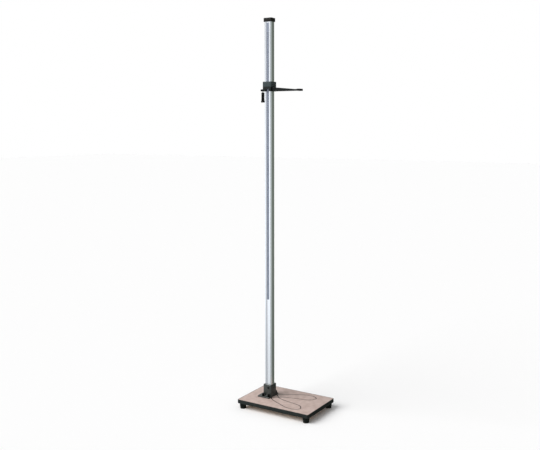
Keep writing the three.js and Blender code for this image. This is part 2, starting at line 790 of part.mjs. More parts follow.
// Brake pad and thread insert in the collar's heel side, and the lever that turns in it
function makeLock() {
  const lock = new THREE.Group();
  lock.position.set(0, 0, lockHeight);
  slider.add(lock);

  const padFace = -halfColumnX - padGap;
  const pad = alongX(rod(padRadius, padFace - padThickness, padFace, screwSides));
  place('brake_pad', pad, 'nylon', lock);

  const insertInner = -armRootX - bondGap - seatGap;
  const insert = alongX(ring(
    insertRadius,
    clampRadius + clampClearance,
    insertInner - insertLength,
    insertInner,
  ));
  place('thread_insert', insert, 'brass', lock);

  const eyeInner = -armRootX - lockBossReach - seatGap;
  const eyeOuter = eyeInner - eyeLength;
  const knobInner = eyeOuter - seatGap;
  const knobOuter = knobInner - knobLength;
  const screwInner = padFace - padThickness - seatGap;
  const clamp = alongX(turned([
    [0, knobInner - knobThread], [clampRadius, knobInner - knobThread],
    [clampRadius, screwInner - clampRadius / 3], [clampRadius * 2 / 3, screwInner], [0, screwInner],
  ], screwSides));
  place('clamp_screw', clamp, 'steel', lock);

  const hole = clampRadius + seatGap;
  const eyeBody = alongX(turned([
    [hole, eyeOuter], [eyeRadius - eyeChamfer, eyeOuter], [eyeRadius, eyeOuter + eyeChamfer],
    [eyeRadius, eyeInner - eyeChamfer], [eyeRadius - eyeChamfer, eyeInner],
    [hole, eyeInner], [hole, eyeOuter],
  ]));
  const stemX = (eyeInner + eyeOuter) / 2;
  const stemTop = stemIntoEye - eyeRadius;
  const stemHole = rod(stemRadius + seatGap, -eyeRadius - overrun, stemTop + seatGap, screwSides);
  place('lever_eye', shaped([eyeBody], [stemHole.translate(stemX, 0, 0)]), 'blackSteel', lock);

  const knobBore = knobInner - knobThread - seatGap;
  const knob = alongX(turned([
    ...knobCrownShares.map(([out, back]) => [out * knobRadius, knobOuter + back * knobRadius]),
    [knobRadius, knobInner], [hole, knobInner], [hole, knobBore], [0, knobBore],
  ]));
  place('lever_knob', knob, 'blackPlastic', lock);

  const gripTop = -gripDrop;
  const gripBottom = gripTop - gripLength;
  const stemBottom = gripTop - stemIntoGrip;
  const stem = rod(stemRadius, stemBottom, stemTop, screwSides);
  place('lever_stem', stem, 'steel', lock).position.set(stemX, 0, 0);

  const stemBore = stemRadius + seatGap;
  const stemBoreEnd = stemBottom - seatGap;
  const grip = turned([
    [0, gripBottom + gripBoreDepth], [gripBoreRadius, gripBottom + gripBoreDepth],
    [gripBoreRadius, gripBottom],
    [gripRadius, gripBottom], [gripWaistRadius, gripBottom + gripLength / 3],
    [gripWaistRadius, gripBottom + gripLength * 2 / 3], [gripRadius, gripTop - gripShoulder],
    [gripNeckRadius, gripTop], [stemBore, gripTop], [stemBore, stemBoreEnd], [0, stemBoreEnd],
  ]);
  place('lever_grip', grip, 'blackPlastic', lock).position.set(stemX, 0, 0);

  const capTop = gripBottom - seatGap;
  const capBottom = capTop - gripCapHeight;
  const spigotTop = gripBottom + gripBoreDepth - seatGap;
  const cap = turned([
    [0, capBottom], [gripCapRadius - gripCapChamfer, capBottom], [gripCapRadius, capBottom + gripCapChamfer],
    [gripCapRadius, capTop - gripCapChamfer], [gripCapRadius - gripCapChamfer, capTop],
    [gripBoreRadius - seatGap, capTop], [gripBoreRadius - seatGap, spigotTop], [0, spigotTop],
  ]);
  place('grip_end_cap', cap, 'blackRubber', lock).position.set(stemX, 0, 0);
}

makeBoard();
makeFeet();
makeBracket();
makeColumn();
makeStrips();
makeHousing();
makeHeadboard();
makeLock();

export default stadiometer;
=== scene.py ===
"""Stadiometer: a foot board, a column with a printed scale on two sides, and a sliding headboard with a lock.

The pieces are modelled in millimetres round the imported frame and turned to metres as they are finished.
+X runs from the heels to the toes, -Y is the side with the right-hand scale, and the floor is at zero.
"""

import logging
import math
from collections.abc import Callable, Iterator, Sequence
from contextlib import contextmanager
from dataclasses import dataclass, field, replace
from enum import Enum
from functools import cache

import bmesh
import bpy
from mathutils import Matrix, Vector


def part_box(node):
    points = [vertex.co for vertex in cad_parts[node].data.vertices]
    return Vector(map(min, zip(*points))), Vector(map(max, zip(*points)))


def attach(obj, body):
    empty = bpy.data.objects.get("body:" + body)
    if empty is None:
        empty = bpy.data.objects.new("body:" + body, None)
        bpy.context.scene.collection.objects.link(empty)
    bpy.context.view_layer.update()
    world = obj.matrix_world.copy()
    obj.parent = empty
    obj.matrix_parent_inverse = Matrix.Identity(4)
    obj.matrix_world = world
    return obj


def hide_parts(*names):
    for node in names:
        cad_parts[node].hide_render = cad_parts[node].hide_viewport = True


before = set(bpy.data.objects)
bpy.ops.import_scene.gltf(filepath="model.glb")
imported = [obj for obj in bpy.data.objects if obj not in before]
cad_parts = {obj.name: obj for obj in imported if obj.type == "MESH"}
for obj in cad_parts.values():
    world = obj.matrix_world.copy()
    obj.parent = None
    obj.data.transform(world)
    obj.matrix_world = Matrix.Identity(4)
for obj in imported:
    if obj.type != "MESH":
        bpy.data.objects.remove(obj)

LOG = logging.getLogger("stadiometer")
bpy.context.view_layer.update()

# A millimetre in metres, and a centimetre in millimetres
MM = 0.001
CM = 10
# In millimetres: points closer than TINY are one, and HAIR is the least size that stays
TINY = 1e-4
HAIR = TINY * 10
# How far a cutter reaches past the face that it opens, and the room that a fit leaves on each side
OVERCUT = 1
ROOM = 0.3
# Flats round a turned piece, round a small hole, and across a rounded edge
SIDES = 48
HOLE_SIDES = 32
ROUND_STEPS = 4
SMOOTH_ANGLE = math.radians(32)
# Nearly all of a noise's values lie between these
NOISE_LOW, NOISE_HIGH = 0.3, 0.7

Mesh = bpy.types.Object
Tree = bpy.types.NodeTree
Node = bpy.types.Node
Socket = bpy.types.NodeSocket
Profile = Sequence[tuple[float, float]]
Section = Sequence[Vector]


class Axis(Enum):
    """A direction that a turned piece or a drum follows."""

    X = (1, 0, 0)
    Y = (0, 1, 0)
    Z = (0, 0, 1)


class Side(Enum):
    """The two scale sides of the column, by the sign of their Y."""

    RIGHT = -1
    LEFT = 1


class Pick(Enum):
    """What a click selects in edit mode."""

    POINTS = (True, False, False)
    EDGES = (False, True, False)
    FACES = (False, False, True)


# Colour and nodes

def linear(code: str) -> tuple[float, float, float, float]:
    """Turn an sRGB hex colour into a linear one.

    Args:
        code: six hex digits.

    Returns:
        Red, green, blue and full opacity.
    """
    parts = [int(code[i:i + 2], 16) / 255 for i in (0, 2, 4)]
    curve = [p / 12.92 if p <= 0.04045 else ((p + 0.055) / 1.055) ** 2.4 for p in parts]
    return (*curve, 1.0)


def add_node(tree: Tree, kind: str, inputs: dict | None = None, **settings) -> Node:
    """Add a node with its settings, and set or link its inputs.

    Args:
        tree: the node tree that gets it.
        kind: the node's type name.
        inputs: socket name or number to a value, or to the output that feeds it.
        settings: the node's own settings.

    Returns:
        The new node.
    """
    node = tree.nodes.new(kind)
    for name, value in settings.items():
        setattr(node, name, value)
    for name, value in (inputs or {}).items():
        if isinstance(value, Socket):
            tree.links.new(value, node.inputs[name])
        else:
            node.inputs[name].default_value = value
    return node


def per_metre(size: float) -> float:
    """Give the texture scale of a pattern whose marks are size millimetres apart."""
    return 1 / (size * MM)


@dataclass(frozen=True)
class Finish:
    """A surface finish with one tone, that the others add their pattern to."""

    name: str
    colour: str
    roughness: float
    metallic: float = 0.0
    ior: float = 1.5

    def material(self) -> bpy.types.Material:
        """Give the finish's material, made at its first use."""
        made = bpy.data.materials.get(self.name)
        if made is None:
            made = bpy.data.materials.new(self.name)
            made.use_nodes = True
            shader = made.node_tree.nodes["Principled BSDF"]
            shader.inputs["Base Color"].default_value = linear(self.colour)
            shader.inputs["Roughness"].default_value = self.roughness
            shader.inputs["Metallic"].default_value = self.metallic
            if not self.metallic:
                shader.inputs["IOR"].default_value = self.ior
            place = add_node(made.node_tree, "ShaderNodeTexCoord")
            self.pattern(made.node_tree, shader, place.outputs["Object"])
        return made

    def pattern(self, tree: Tree, shader: Node, place: Socket) -> None:
        """Add the finish's pattern, which the plain finish leaves out.

        Args:
            tree: the material's node tree.
            shader: its surface shader.
            place: the coordinates that patterns read, in metres.
        """

    def noise(self, tree: Tree, place: Socket, size: float,
              detail: float = 2.0, stretch: tuple[float, float, float] = (1, 1, 1)) -> Socket:
        """Add a noise whose marks are size millimetres across.

        Args:
            tree: the material's node tree.
            place: the coordinates that it reads.
            size: how far apart its marks are, in millimetres.
            detail: how many finer layers it has.
            stretch: how many times longer the marks are along X, Y and Z.

        Returns:
            The noise's value.
        """
        squeeze = tuple(1 / s for s in stretch)
        scaled = add_node(tree, "ShaderNodeMapping", {"Vector": place, "Scale": squeeze})
        made = add_node(tree, "ShaderNodeTexNoise", {
            "Vector": scaled.outputs["Vector"], "Scale": per_metre(size), "Detail": detail})
        return made.outputs["Fac"]

    def tones(self, tree: Tree, value: Socket, dark: str, light: str,
              low: float = 0.35, high: float = 0.65) -> Socket:
        """Turn a value into a colour between two tones.

        Args:
            tree: the material's node tree.
            value: the value that chooses.
            dark: the sRGB hex colour at low.
            light: the sRGB hex colour at high.
            low: the value with the dark tone.
            high: the value with the light tone.

        Returns:
            The colour.
        """
        share = add_node(tree, "ShaderNodeMapRange", {"Value": value, "From Min": low, "From Max": high})
        mix = add_node(tree, "ShaderNodeMix", {
            "Factor": share.outputs["Result"], 6: linear(dark), 7: linear(light)}, data_type="RGBA")
        return mix.outputs[2]

    def spread(self, tree: Tree, value: Socket, low: float, high: float) -> Socket:
        """Turn a noise's value into one that runs from low to high.

        Args:
            tree: the material's node tree.
            value: the noise's value.
            low: the least result.
            high: the greatest result.

        Returns:
            The result.
        """
        ranged = add_node(tree, "ShaderNodeMapRange", {
            "Value": value, "From Min": NOISE_LOW, "From Max": NOISE_HIGH, "To Min": low, "To Max": high})
        return ranged.outputs["Result"]

    def vary_gloss(self, tree: Tree, shader: Node, value: Socket, less: float, more: float) -> None:
        """Let the roughness change round the finish's own with a noise's value.

        Args:
            tree: the material's node tree.
            shader: the surface shader.
            value: the noise's value.
            less: how far the roughness falls below the finish's own.
            more: how far it rises above it.
        """
        gloss = self.spread(tree, value, self.roughness - less, self.roughness + more)
        tree.links.new(gloss, shader.inputs["Roughness"])

    def relief(self, tree: Tree, shader: Node, value: Socket, height: float, strength: float = 1.0) -> None:
        """Raise the surface by a value, as bump.

        Args:
            tree: the material's node tree.
            shader: the surface shader.
            value: the value that raises it.
            height: how high a value of one stands, in millimetres.
            strength: how much of it shows.
        """
        bump = add_node(tree, "ShaderNodeBump", {
            "Height": value, "Distance": height * MM, "Strength": strength})
        tree.links.new(bump.outputs["Normal"], shader.inputs["Normal"])


@dataclass(frozen=True)
class Moulded(Finish):
    """Moulded or coated: two close tones in soft clouds, and an even grain in gloss and relief."""

    second: str = "000000"
    cloud: float = 40.0
    grain: float = 0.8
    height: float = 0.02
    gloss: float = 0.06

    def pattern(self, tree: Tree, shader: Node, place: Socket) -> None:
        """Add clouds of tone, and grain in the gloss and the relief."""
        clouds = self.noise(tree, place, self.cloud, detail=3)
        tree.links.new(self.tones(tree, clouds, self.colour, self.second), shader.inputs["Base Color"])
        grain = self.noise(tree, place, self.grain)
        self.vary_gloss(tree, shader, grain, self.gloss, self.gloss)
        self.relief(tree, shader, grain, self.height)


@dataclass(frozen=True)
class Rubber(Moulded):
    """Moulded rubber that goes grey and dull where it meets the floor."""

    dust: str = "5a5853"
    dust_height: float = 5.0
    dust_share: float = 0.6
    scuff: float = 1.5

    def pattern(self, tree: Tree, shader: Node, place: Socket) -> None:
        """Add the moulded pattern, and dust that fades out above the floor."""
        super().pattern(tree, shader, place)
        body = shader.inputs["Base Color"].links[0].from_socket
        height = add_node(tree, "ShaderNodeSeparateXYZ", {"Vector": place}).outputs["Z"]
        low = add_node(tree, "ShaderNodeMapRange", {
            "Value": height, "From Min": 0, "From Max": self.dust_height * MM, "To Min": self.dust_share,
            "To Max": 0})
        scuffs = self.spread(tree, self.noise(tree, place, self.scuff, detail=4), low=0.2, high=1)
        share = add_node(tree, "ShaderNodeMath", {0: low.outputs["Result"], 1: scuffs}, operation="MULTIPLY")
        mix = add_node(tree, "ShaderNodeMix", {
            "Factor": share.outputs[0], 6: body, 7: linear(self.dust)}, data_type="RGBA")
        tree.links.new(mix.outputs[2], shader.inputs["Base Color"])


@dataclass(frozen=True)
class Laminate(Finish):
    """High pressure laminate: printed paper with soft clouds and specks, under a finely dimpled melamine."""

    light: str = "ffffff"
    speck: str = "808080"
    cloud: float = 28.0
    speck_size: float = 2.2
    dimple: float = 1.1

    def pattern(self, tree: Tree, shader: Node, place: Socket) -> None:
        """Add the paper's clouds and specks, and the dimples of the pressing plate."""
        clouds = self.noise(tree, place, self.cloud, detail=4)
        paper = self.tones(tree, clouds, self.colour, self.light, NOISE_LOW, NOISE_HIGH)
        specks = self.noise(tree, place, self.speck_size, detail=3)
        share = add_node(tree, "ShaderNodeMapRange", {
            "Value": specks, "From Min": 0.58, "From Max": 0.7, "To Min": 0, "To Max": 0.3})
        mix = add_node(tree, "ShaderNodeMix", {
            "Factor": share.outputs["Result"], 6: paper, 7: linear(self.speck)}, data_type="RGBA")
        tree.links.new(mix.outputs[2], shader.inputs["Base Color"])
        dimples = self.noise(tree, place, self.dimple, detail=1)
        self.vary_gloss(tree, shader, dimples, less=0.05, more=0.07)
        self.relief(tree, shader, dimples, height=0.03, strength=0.7)


@dataclass(frozen=True)
class Chipboard(Finish):
    """Particle board: pressed chips of several browns, that show under a thin sealer."""

    dark: str = "876a4c"
    chip: float = 2.6

    def pattern(self, tree: Tree, shader: Node, place: Socket) -> None:
        """Add flat chips, each of its own brown, with a little relief at their edges."""
        wobble = add_node(tree, "ShaderNodeTexNoise", {"Vector": place, "Scale": per_metre(self.chip * 3)})
        shift = add_node(tree, "ShaderNodeVectorMath", {
            0: wobble.outputs["Color"], 1: (self.chip * MM,) * 3}, operation="MULTIPLY")
        moved = add_node(tree, "ShaderNodeVectorMath", {
            0: place, 1: shift.outputs["Vector"]}, operation="ADD")
        chips = add_node(tree, "ShaderNodeTexVoronoi", {
            "Vector": moved.outputs["Vector"], "Scale": per_metre(self.chip)})
        brown = add_node(tree, "ShaderNodeSeparateColor", {"Color": chips.outputs["Color"]})
        tree.links.new(self.tones(tree, brown.outputs["Red"], self.dark, self.colour, low=0, high=1),
                       shader.inputs["Base Color"])
        self.relief(tree, shader, chips.outputs["Distance"], height=0.15, strength=0.5)


@dataclass(frozen=True)
class DrawnMetal(Finish):
    """Extruded and anodised: fine die lines run the length of the piece under a thin clear oxide."""

    second: str = "c8ccd0"
    line: float = 0.9
    length_share: float = 600.0
    handling: float = 60.0
    height: float = 0.01

    def pattern(self, tree: Tree, shader: Node, place: Socket) -> None:
        """Add die lines along Z in tone, gloss and relief, and faint handling marks in the gloss."""
        lines = self.noise(tree, place, self.line, detail=3, stretch=(1, 1, self.length_share))
        tree.links.new(self.tones(tree, lines, self.second, self.colour), shader.inputs["Base Color"])
        marks = self.noise(tree, place, self.handling, detail=4, stretch=(1, 1, 3))
        both = add_node(tree, "ShaderNodeMath", {0: lines, 1: marks}, operation="ADD")
        half = add_node(tree, "ShaderNodeMath", {0: both.outputs[0], 1: 0.5}, operation="MULTIPLY")
        self.vary_gloss(tree, shader, half.outputs[0], less=0.05, more=0.06)
        self.relief(tree, shader, lines, self.height, strength=0.5)


@dataclass(frozen=True)
class PlatedMetal(Finish):
    """Plated or blackened steel: turning marks too fine to see, with small changes of tone and gloss."""

    second: str = "808080"
    patch: float = 4.0
    scratch: float = 0.6

    def pattern(self, tree: Tree, shader: Node, place: Socket) -> None:
        """Add patches of tone and gloss."""
        patches = self.noise(tree, place, self.patch, detail=4)
        tree.links.new(self.tones(tree, patches, self.colour, self.second), shader.inputs["Base Color"])
        fine = self.noise(tree, place, self.scratch, detail=3)
        self.vary_gloss(tree, shader, fine, less=0.07, more=0.08)


@dataclass(frozen=True)
class Ink(Finish):
    """Screen printed ink: even, and slightly thin where the mesh of the screen let less through."""

    thin: str = "606060"
    spot: float = 1.2

    def pattern(self, tree: Tree, shader: Node, place: Socket) -> None:
        """Add the thin spots."""
        spots = self.noise(tree, place, self.spot, detail=3)
        tree.links.new(self.tones(tree, spots, self.thin, self.colour, low=0.25, high=0.5),
                       shader.inputs["Base Color"])


# Pink melamine laminate: a warm printed paper, half matt, with dimples that soften every reflection
DECK_LAMINATE = Laminate("Melamine laminate", "b6a097", 0.5, light="ccb7af", speck="9c857c")
# Pressed chips under a sealer: a brown speckle on the side that nobody looks at
CHIP_CORE = Chipboard("Sealed particle board", "a98a68", 0.75)
# ABS edging, extruded: nearly black, with a leathery grain that breaks its sheen
EDGE_ABS = Moulded("ABS edging", "101614", 0.5, ior=1.32, second="1a211f", cloud=30, grain=1.6, height=0.05)
# Natural rubber, compression moulded: dull black, grey with dust by the floor
FOOT_RUBBER = Rubber("Moulded rubber", "0b100d", 0.8, ior=1.22, second="131815", cloud=12, grain=1.0,
                     height=0.04)
# Zinc plated steel with a clear passivation: cool and bright, with a trace of yellow
ZINC_STEEL = PlatedMetal("Zinc plated steel", "a9aba8", 0.32, metallic=1.0, second="bdbbb0")
# Blackened steel: oxide in oil, a dark metal that still catches a sharp light
BLACK_STEEL = PlatedMetal("Black oxide steel", "151618", 0.34, metallic=1.0, second="202022")
# Powder coat baked on a casting: black in a soft orange peel, glossy enough to pick up the board's pink
POWDER_COAT = Moulded("Powder coated casting", "262b28", 0.27, second="2f3330", cloud=18, grain=1.4,
                      height=0.03)
# Anodised aluminium, extruded: satin and bright, streaked along its length
ANODISED = DrawnMetal("Anodised aluminium", "eef1f2", 0.22, metallic=1.0, second="e2e6e9")
# Polyester film with a silver-grey ground, matt coated so that print can be read without glare
SCALE_FILM = Moulded("Matt polyester film", "7d8596", 0.45, second="878f9f", cloud=25, grain=0.7,
                     height=0.004)
# Black screen ink on the film
SCALE_INK = Ink("Screen printed scale ink", "15171c", 0.5, thin="23262c")
# Brown screen ink on the laminate, a little worn by feet
OUTLINE_INK = Ink("Screen printed outline ink", "221914", 0.55, thin="382c24", spot=3)
# Polypropylene cap: black with a faint brown, waxy
CAP_PLASTIC = Moulded("Moulded polypropylene", "13120f", 0.4, ior=1.27, second="1b1a17", cloud=20, grain=0.9,
                      height=0.015)
# Glass filled nylon: dark grey and dry, with the glass just showing as a fine grain
HOUSING_NYLON = Moulded("Glass filled nylon", "303a3b", 0.46, ior=1.33, second="3a4546", cloud=9, grain=0.9,
                        height=0.03)
# ABS headboard: black, spark eroded mould, satin
HEADBOARD_ABS = Moulded("Moulded black ABS", "111514", 0.4, ior=1.24, second="181d1c", cloud=16, grain=0.9,
                        height=0.02)
# Soft PVC tip and handle foot: black, matt, slightly tacky
SOFT_PVC = Moulded("Soft black PVC", "090b0a", 0.6, ior=1.3, second="101211", cloud=10, grain=0.8,
                   height=0.03)
# Phenolic knob and handle: hard black with a polished skin
PHENOLIC = Moulded("Moulded phenolic", "090a09", 0.24, ior=1.16, second="0d0e0d", cloud=12, grain=1.0,
                   height=0.004, gloss=0.03)
# Acetal liners: black, waxy and self-oiling
ACETAL = Moulded("Black acetal", "191a1b", 0.36, second="202122", cloud=8, grain=0.7, height=0.006)
# Free cutting brass, turned
BRASS = PlatedMetal("Turned brass", "b89b4e", 0.3, metallic=1.0, second="a88a42")
# Nylon pad: milky and dull
NYLON = Moulded("Natural nylon", "d5d0c0", 0.5, second="ddd9cb", cloud=6, grain=0.6, height=0.01)


# The bench: how pieces are made

def deselect() -> None:
    """Leave nothing selected, so that an operator acts on the new piece alone."""
    if bpy.context.object is not None and bpy.context.object.mode != "OBJECT":
        bpy.ops.object.mode_set(mode="OBJECT")
    bpy.ops.object.select_all(action="DESELECT")


def take(piece: Mesh, *others: Mesh) -> None:
    """Select a piece, and others with it, and make it the active one.

    Args:
        piece: the piece that becomes active.
        others: pieces that are selected with it.
    """
    deselect()
    for each in (piece, *others):
        each.select_set(True)
    bpy.context.view_layer.objects.active = piece


@contextmanager
def editing(piece: Mesh, pick: Pick) -> Iterator[None]:
    """Hold a piece in edit mode with nothing selected on it.

    Args:
        piece: the piece to edit.
        pick: what a selection holds.

    Yields:
        Nothing; the piece is in edit mode until the block ends.
    """
    take(piece)
    bpy.ops.object.mode_set(mode="EDIT")
    bpy.context.tool_settings.mesh_select_mode = pick.value
    bpy.ops.mesh.select_all(action="DESELECT")
    yield
    bpy.ops.object.mode_set(mode="OBJECT")


def choose_edges(piece: Mesh, test: Callable[[Vector, Vector], bool]) -> None:
    """Select the edges of a piece in edit mode whose ends pass a test.

    Args:
        piece: the piece in edit mode.
        test: takes an edge's two ends and says whether it is wanted.
    """
    mesh = bmesh.from_edit_mesh(piece.data)
    for edge in mesh.edges:
        edge.select_set(test(edge.verts[0].co, edge.verts[1].co))
    bmesh.update_edit_mesh(piece.data)


def apply_place(piece: Mesh) -> None:
    """Put a piece's place, turn and size into its mesh."""
    take(piece)
    bpy.ops.object.transform_apply(location=True, rotation=True, scale=True)


def block(low: Vector, high: Vector) -> Mesh:
    """Add a box between two corners.

    Args:
        low: its lowest corner.
        high: its highest corner.

    Returns:
        The box.
    """
    deselect()
    bpy.ops.mesh.primitive_cube_add(size=1, location=(low + high) / 2, scale=high - low)
    piece = bpy.context.object
    apply_place(piece)
    return piece


def drum(start: Vector, radius: float, length: float, axis: Axis, sides: int = SIDES) -> Mesh:
    """Add a drum along an axis, used to cut with or to join on.

    Args:
        start: the middle of its first end.
        radius: its radius.
        length: how far it runs along the axis.
        axis: the way it runs.
        sides: how many flats go round it.

    Returns:
        The drum.
    """
    deselect()
    way = Vector(axis.value)
    bpy.ops.mesh.primitive_cylinder_add(
        vertices=sides, radius=radius, depth=length, location=start + way * length / 2,
        rotation=way.to_track_quat("Z", "Y").to_euler())
    piece = bpy.context.object
    apply_place(piece)
    return piece


def modified(piece: Mesh, kind: str, **settings) -> Mesh:
    """Put a modifier on a piece and apply it.

    Args:
        piece: the piece to change.
        kind: the modifier's type.
        settings: its settings.

    Returns:
        The piece.
    """
    take(piece)
    modifier = piece.modifiers.new(kind.title(), kind)
    for name, value in settings.items():
        setattr(modifier, name, value)
    bpy.ops.object.modifier_apply(modifier=modifier.name)
    return piece


def combine(piece: Mesh, how: str, others: Sequence[Mesh]) -> Mesh:
    """Change a piece by other shapes, one after the other, and throw them away.

    Args:
        piece: the piece that is changed.
        how: the boolean operation.
        others: the shapes.

    Returns:
        The piece.
    """
    for other in others:
        modified(piece, "BOOLEAN", operation=how, object=other, solver="EXACT")
        bpy.data.objects.remove(other)
    return piece


def cut(piece: Mesh, *cutters: Mesh) -> Mesh:
    """Cut shapes out of a piece."""
    return combine(piece, "DIFFERENCE", cutters)


def fuse(piece: Mesh, *others: Mesh) -> Mesh:
    """Join shapes onto a piece, in one skin."""
    return combine(piece, "UNION", others)


def trim(piece: Mesh, *limits: Mesh) -> Mesh:
    """Leave of a piece what lies inside other shapes."""
    return combine(piece, "INTERSECT", limits)


def face_outwards() -> None:
    """Turn all the faces of the piece in edit mode outwards."""
    bpy.ops.mesh.select_all(action="SELECT")
    bpy.ops.mesh.normals_make_consistent(inside=False)


def copied(piece: Mesh, offset: Vector, mirror_y: bool = False) -> Mesh:
    """Copy a piece, with a mesh of its own, to another place.

    Args:
        piece: the piece to copy.
        offset: how far the copy is moved.
        mirror_y: whether the copy is mirrored across the middle of the board.

    Returns:
        The copy.
    """
    take(piece)
    bpy.ops.object.duplicate(linked=False)
    copy = bpy.context.object
    copy.location += offset
    if mirror_y:
        copy.scale.y = -1
    apply_place(copy)
    if mirror_y:
        with editing(copy, Pick.FACES):
            face_outwards()
    return copy


def loft(sections: Sequence[Section]) -> Mesh:
    """Draw the first section as a face and extrude it through the others, each with as many points.

    Args:
        sections: closed outlines in order, from one end to the other.

    Returns:
        The closed piece.
    """
    deselect()
    bpy.ops.mesh.primitive_circle_add(vertices=len(sections[0]), radius=1, fill_type="NGON")
    piece = bpy.context.object
    for vertex, point in zip(piece.data.vertices, sections[0]):
        vertex.co = point
    with editing(piece, Pick.FACES):
        bpy.ops.mesh.select_all(action="SELECT")
        for before, after in zip(sections, sections[1:]):
            bpy.ops.mesh.extrude_region_move()
            mesh = bmesh.from_edit_mesh(piece.data)
            goals = {tuple(round(c, 3) for c in old): new for old, new in zip(before, after)}
            for vertex in [v for v in mesh.verts if v.select]:
                vertex.co = goals[tuple(round(c, 3) for c in vertex.co)]
            bmesh.update_edit_mesh(piece.data)
        face_outwards()
    return piece


def quarter_turn(steps: int = ROUND_STEPS) -> list[float]:
    """Give the angles of a quarter turn in equal steps, with both ends."""
    return [math.pi / 2 * step / steps for step in range(steps + 1)]


def softened(profile: Profile, radius: float, steps: int = ROUND_STEPS) -> Profile:
    """Round the inner corners of a profile.

    Args:
        profile: its points.
        radius: how far each rounding reaches, less where the profile is short.
        steps: how many flats a rounding has.

    Returns:
        The rounded profile, with the same ends.
    """
    points = [Vector(p) for p in profile]
    result = [points[0]]
    for before, corner, after in zip(points, points[1:], points[2:]):
        reach = min(radius, 0.45 * (corner - before).length, 0.45 * (after - corner).length)
        start = corner + (before - corner).normalized() * reach
        end = corner + (after - corner).normalized() * reach
        for step in range(steps + 1):
            t = step / steps
            result.append(start * (1 - t) ** 2 + corner * 2 * t * (1 - t) + end * t ** 2)
    result.append(points[-1])
    return [tuple(p) for p in result]


def turned(profile: Profile, centre: Vector, axis: Axis = Axis.Z, steps: int = SIDES) -> Mesh:
    """Spin a profile round an axis, as a lathe does.

    Args:
        profile: radius and place along the axis, from end to end on the axis or back to its start.
        centre: where the axis has its zero.
        axis: the way that the axis runs.
        steps: how many flats go round.

    Returns:
        The turned piece.
    """
    ring = profile[0] == profile[-1]
    points = profile[:-1] if ring else profile
    deselect()
    bpy.ops.mesh.primitive_circle_add(vertices=len(points), radius=1, fill_type="NOTHING")
    piece = bpy.context.object
    along = Vector(axis.value)
    outward = Vector((0, 0, 1)) if axis is not Axis.Z else Vector((1, 0, 0))
    places = [centre + outward * radius + along * height for radius, height in points]
    for vertex, point in zip(piece.data.vertices, places):
        vertex.co = point
    with editing(piece, Pick.EDGES):
        if not ring:
            ends = (places[0], places[-1])
            choose_edges(piece, lambda a, b: all(min((v - e).length for e in ends) < TINY for v in (a, b)))
            bpy.ops.mesh.delete(type="EDGE_FACE")
        bpy.ops.mesh.select_all(action="SELECT")
        bpy.ops.mesh.spin(steps=steps, angle=math.tau, center=centre, axis=along, use_auto_merge=True)
        bpy.ops.mesh.select_all(action="SELECT")
        bpy.ops.mesh.remove_doubles(threshold=TINY)
        face_outwards()
    return piece


def sleeve(bore: float, radius: float, ends: tuple[float, float], rounding: float, centre: Vector,
           axis: Axis = Axis.Z, steps: int = SIDES, edge_steps: int = ROUND_STEPS) -> Mesh:
    """Turn a plain sleeve with rounded edges, or a rod where its bore is zero.

    Args:
        bore: the radius of its bore.
        radius: its own radius.
        ends: where it starts and ends along the axis.
        rounding: how far the rounding of its edges reaches.
        centre: where the axis has its zero.
        axis: the way that the axis runs.
        steps: how many flats go round.
        edge_steps: how many flats a rounded edge has.

    Returns:
        The sleeve or rod.
    """
    profile = [(bore, ends[0]), (radius, ends[0]), (radius, ends[1]), (bore, ends[1])]
    if bore:
        profile.append(profile[0])
    return turned(softened(profile, rounding, edge_steps), centre, axis, steps)


@dataclass(frozen=True)
class Outline:
    """A rectangle in plan with rounded corners."""

    low_x: float
    high_x: float
    low_y: float
    high_y: float
    radius: float
    corner_steps: int = 8

    def inset(self, distance: float) -> "Outline":
        """Give the outline that lies distance inside this one."""
        return replace(
            self, low_x=self.low_x + distance, high_x=self.high_x - distance,
            low_y=self.low_y + distance, high_y=self.high_y - distance,
            radius=max(self.radius - distance, HAIR))

    def corners(self) -> list[tuple[float, float]]:
        """Give the points round the outline, anticlockwise from the +X +Y corner."""
        middles = [
            (self.high_x - self.radius, self.high_y - self.radius),
            (self.low_x + self.radius, self.high_y - self.radius),
            (self.low_x + self.radius, self.low_y + self.radius),
            (self.high_x - self.radius, self.low_y + self.radius)]
        points = []
        for quarter, (x, y) in enumerate(middles):
            for step in range(self.corner_steps + 1):
                angle = (quarter + step / self.corner_steps) * math.pi / 2
                points.append((x + self.radius * math.cos(angle), y + self.radius * math.sin(angle)))
        return points

    def at(self, height: float) -> list[Vector]:
        """Give the outline's points at a height."""
        return [Vector((x, y, height)) for x, y in self.corners()]

    def pillar(self, bottom: float, top: float, round_bottom: float = 0,
               round_top: float = 0) -> list[list[Vector]]:
        """Give the sections of a pillar on this outline with rounded ends.

        Args:
            bottom: where it starts.
            top: where it ends.
            round_bottom: the radius of its lower edge, or zero.
            round_top: the radius of its upper edge, or zero.

        Returns:
            The sections, from the bottom up.
        """
        turns = quarter_turn()
        low = [self.inset(round_bottom * (1 - math.sin(t))).at(bottom + round_bottom * (1 - math.cos(t)))
               for t in turns] if round_bottom else [self.at(bottom)]
        high = [self.inset(round_top * (1 - math.cos(t))).at(top - round_top * (1 - math.sin(t)))
                for t in turns] if round_top else [self.at(top)]
        return low + high

    def solid(self, bottom: float, top: float, round_bottom: float = 0, round_top: float = 0) -> Mesh:
        """Make the pillar of this outline, with rounded ends."""
        return loft(self.pillar(bottom, top, round_bottom, round_top))


@cache
def node_box(name: str) -> tuple[Vector, Vector]:
    """Give a CAD node's lowest and highest corners in millimetres, measured once."""
    low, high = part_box(name)
    return (low / MM).freeze(), (high / MM).freeze()


def node_outline(name: str, radius: float) -> Outline:
    """Give the outline in plan of a CAD node whose corners have that radius."""
    low, high = node_box(name)
    return Outline(low.x, high.x, low.y, high.y, radius)


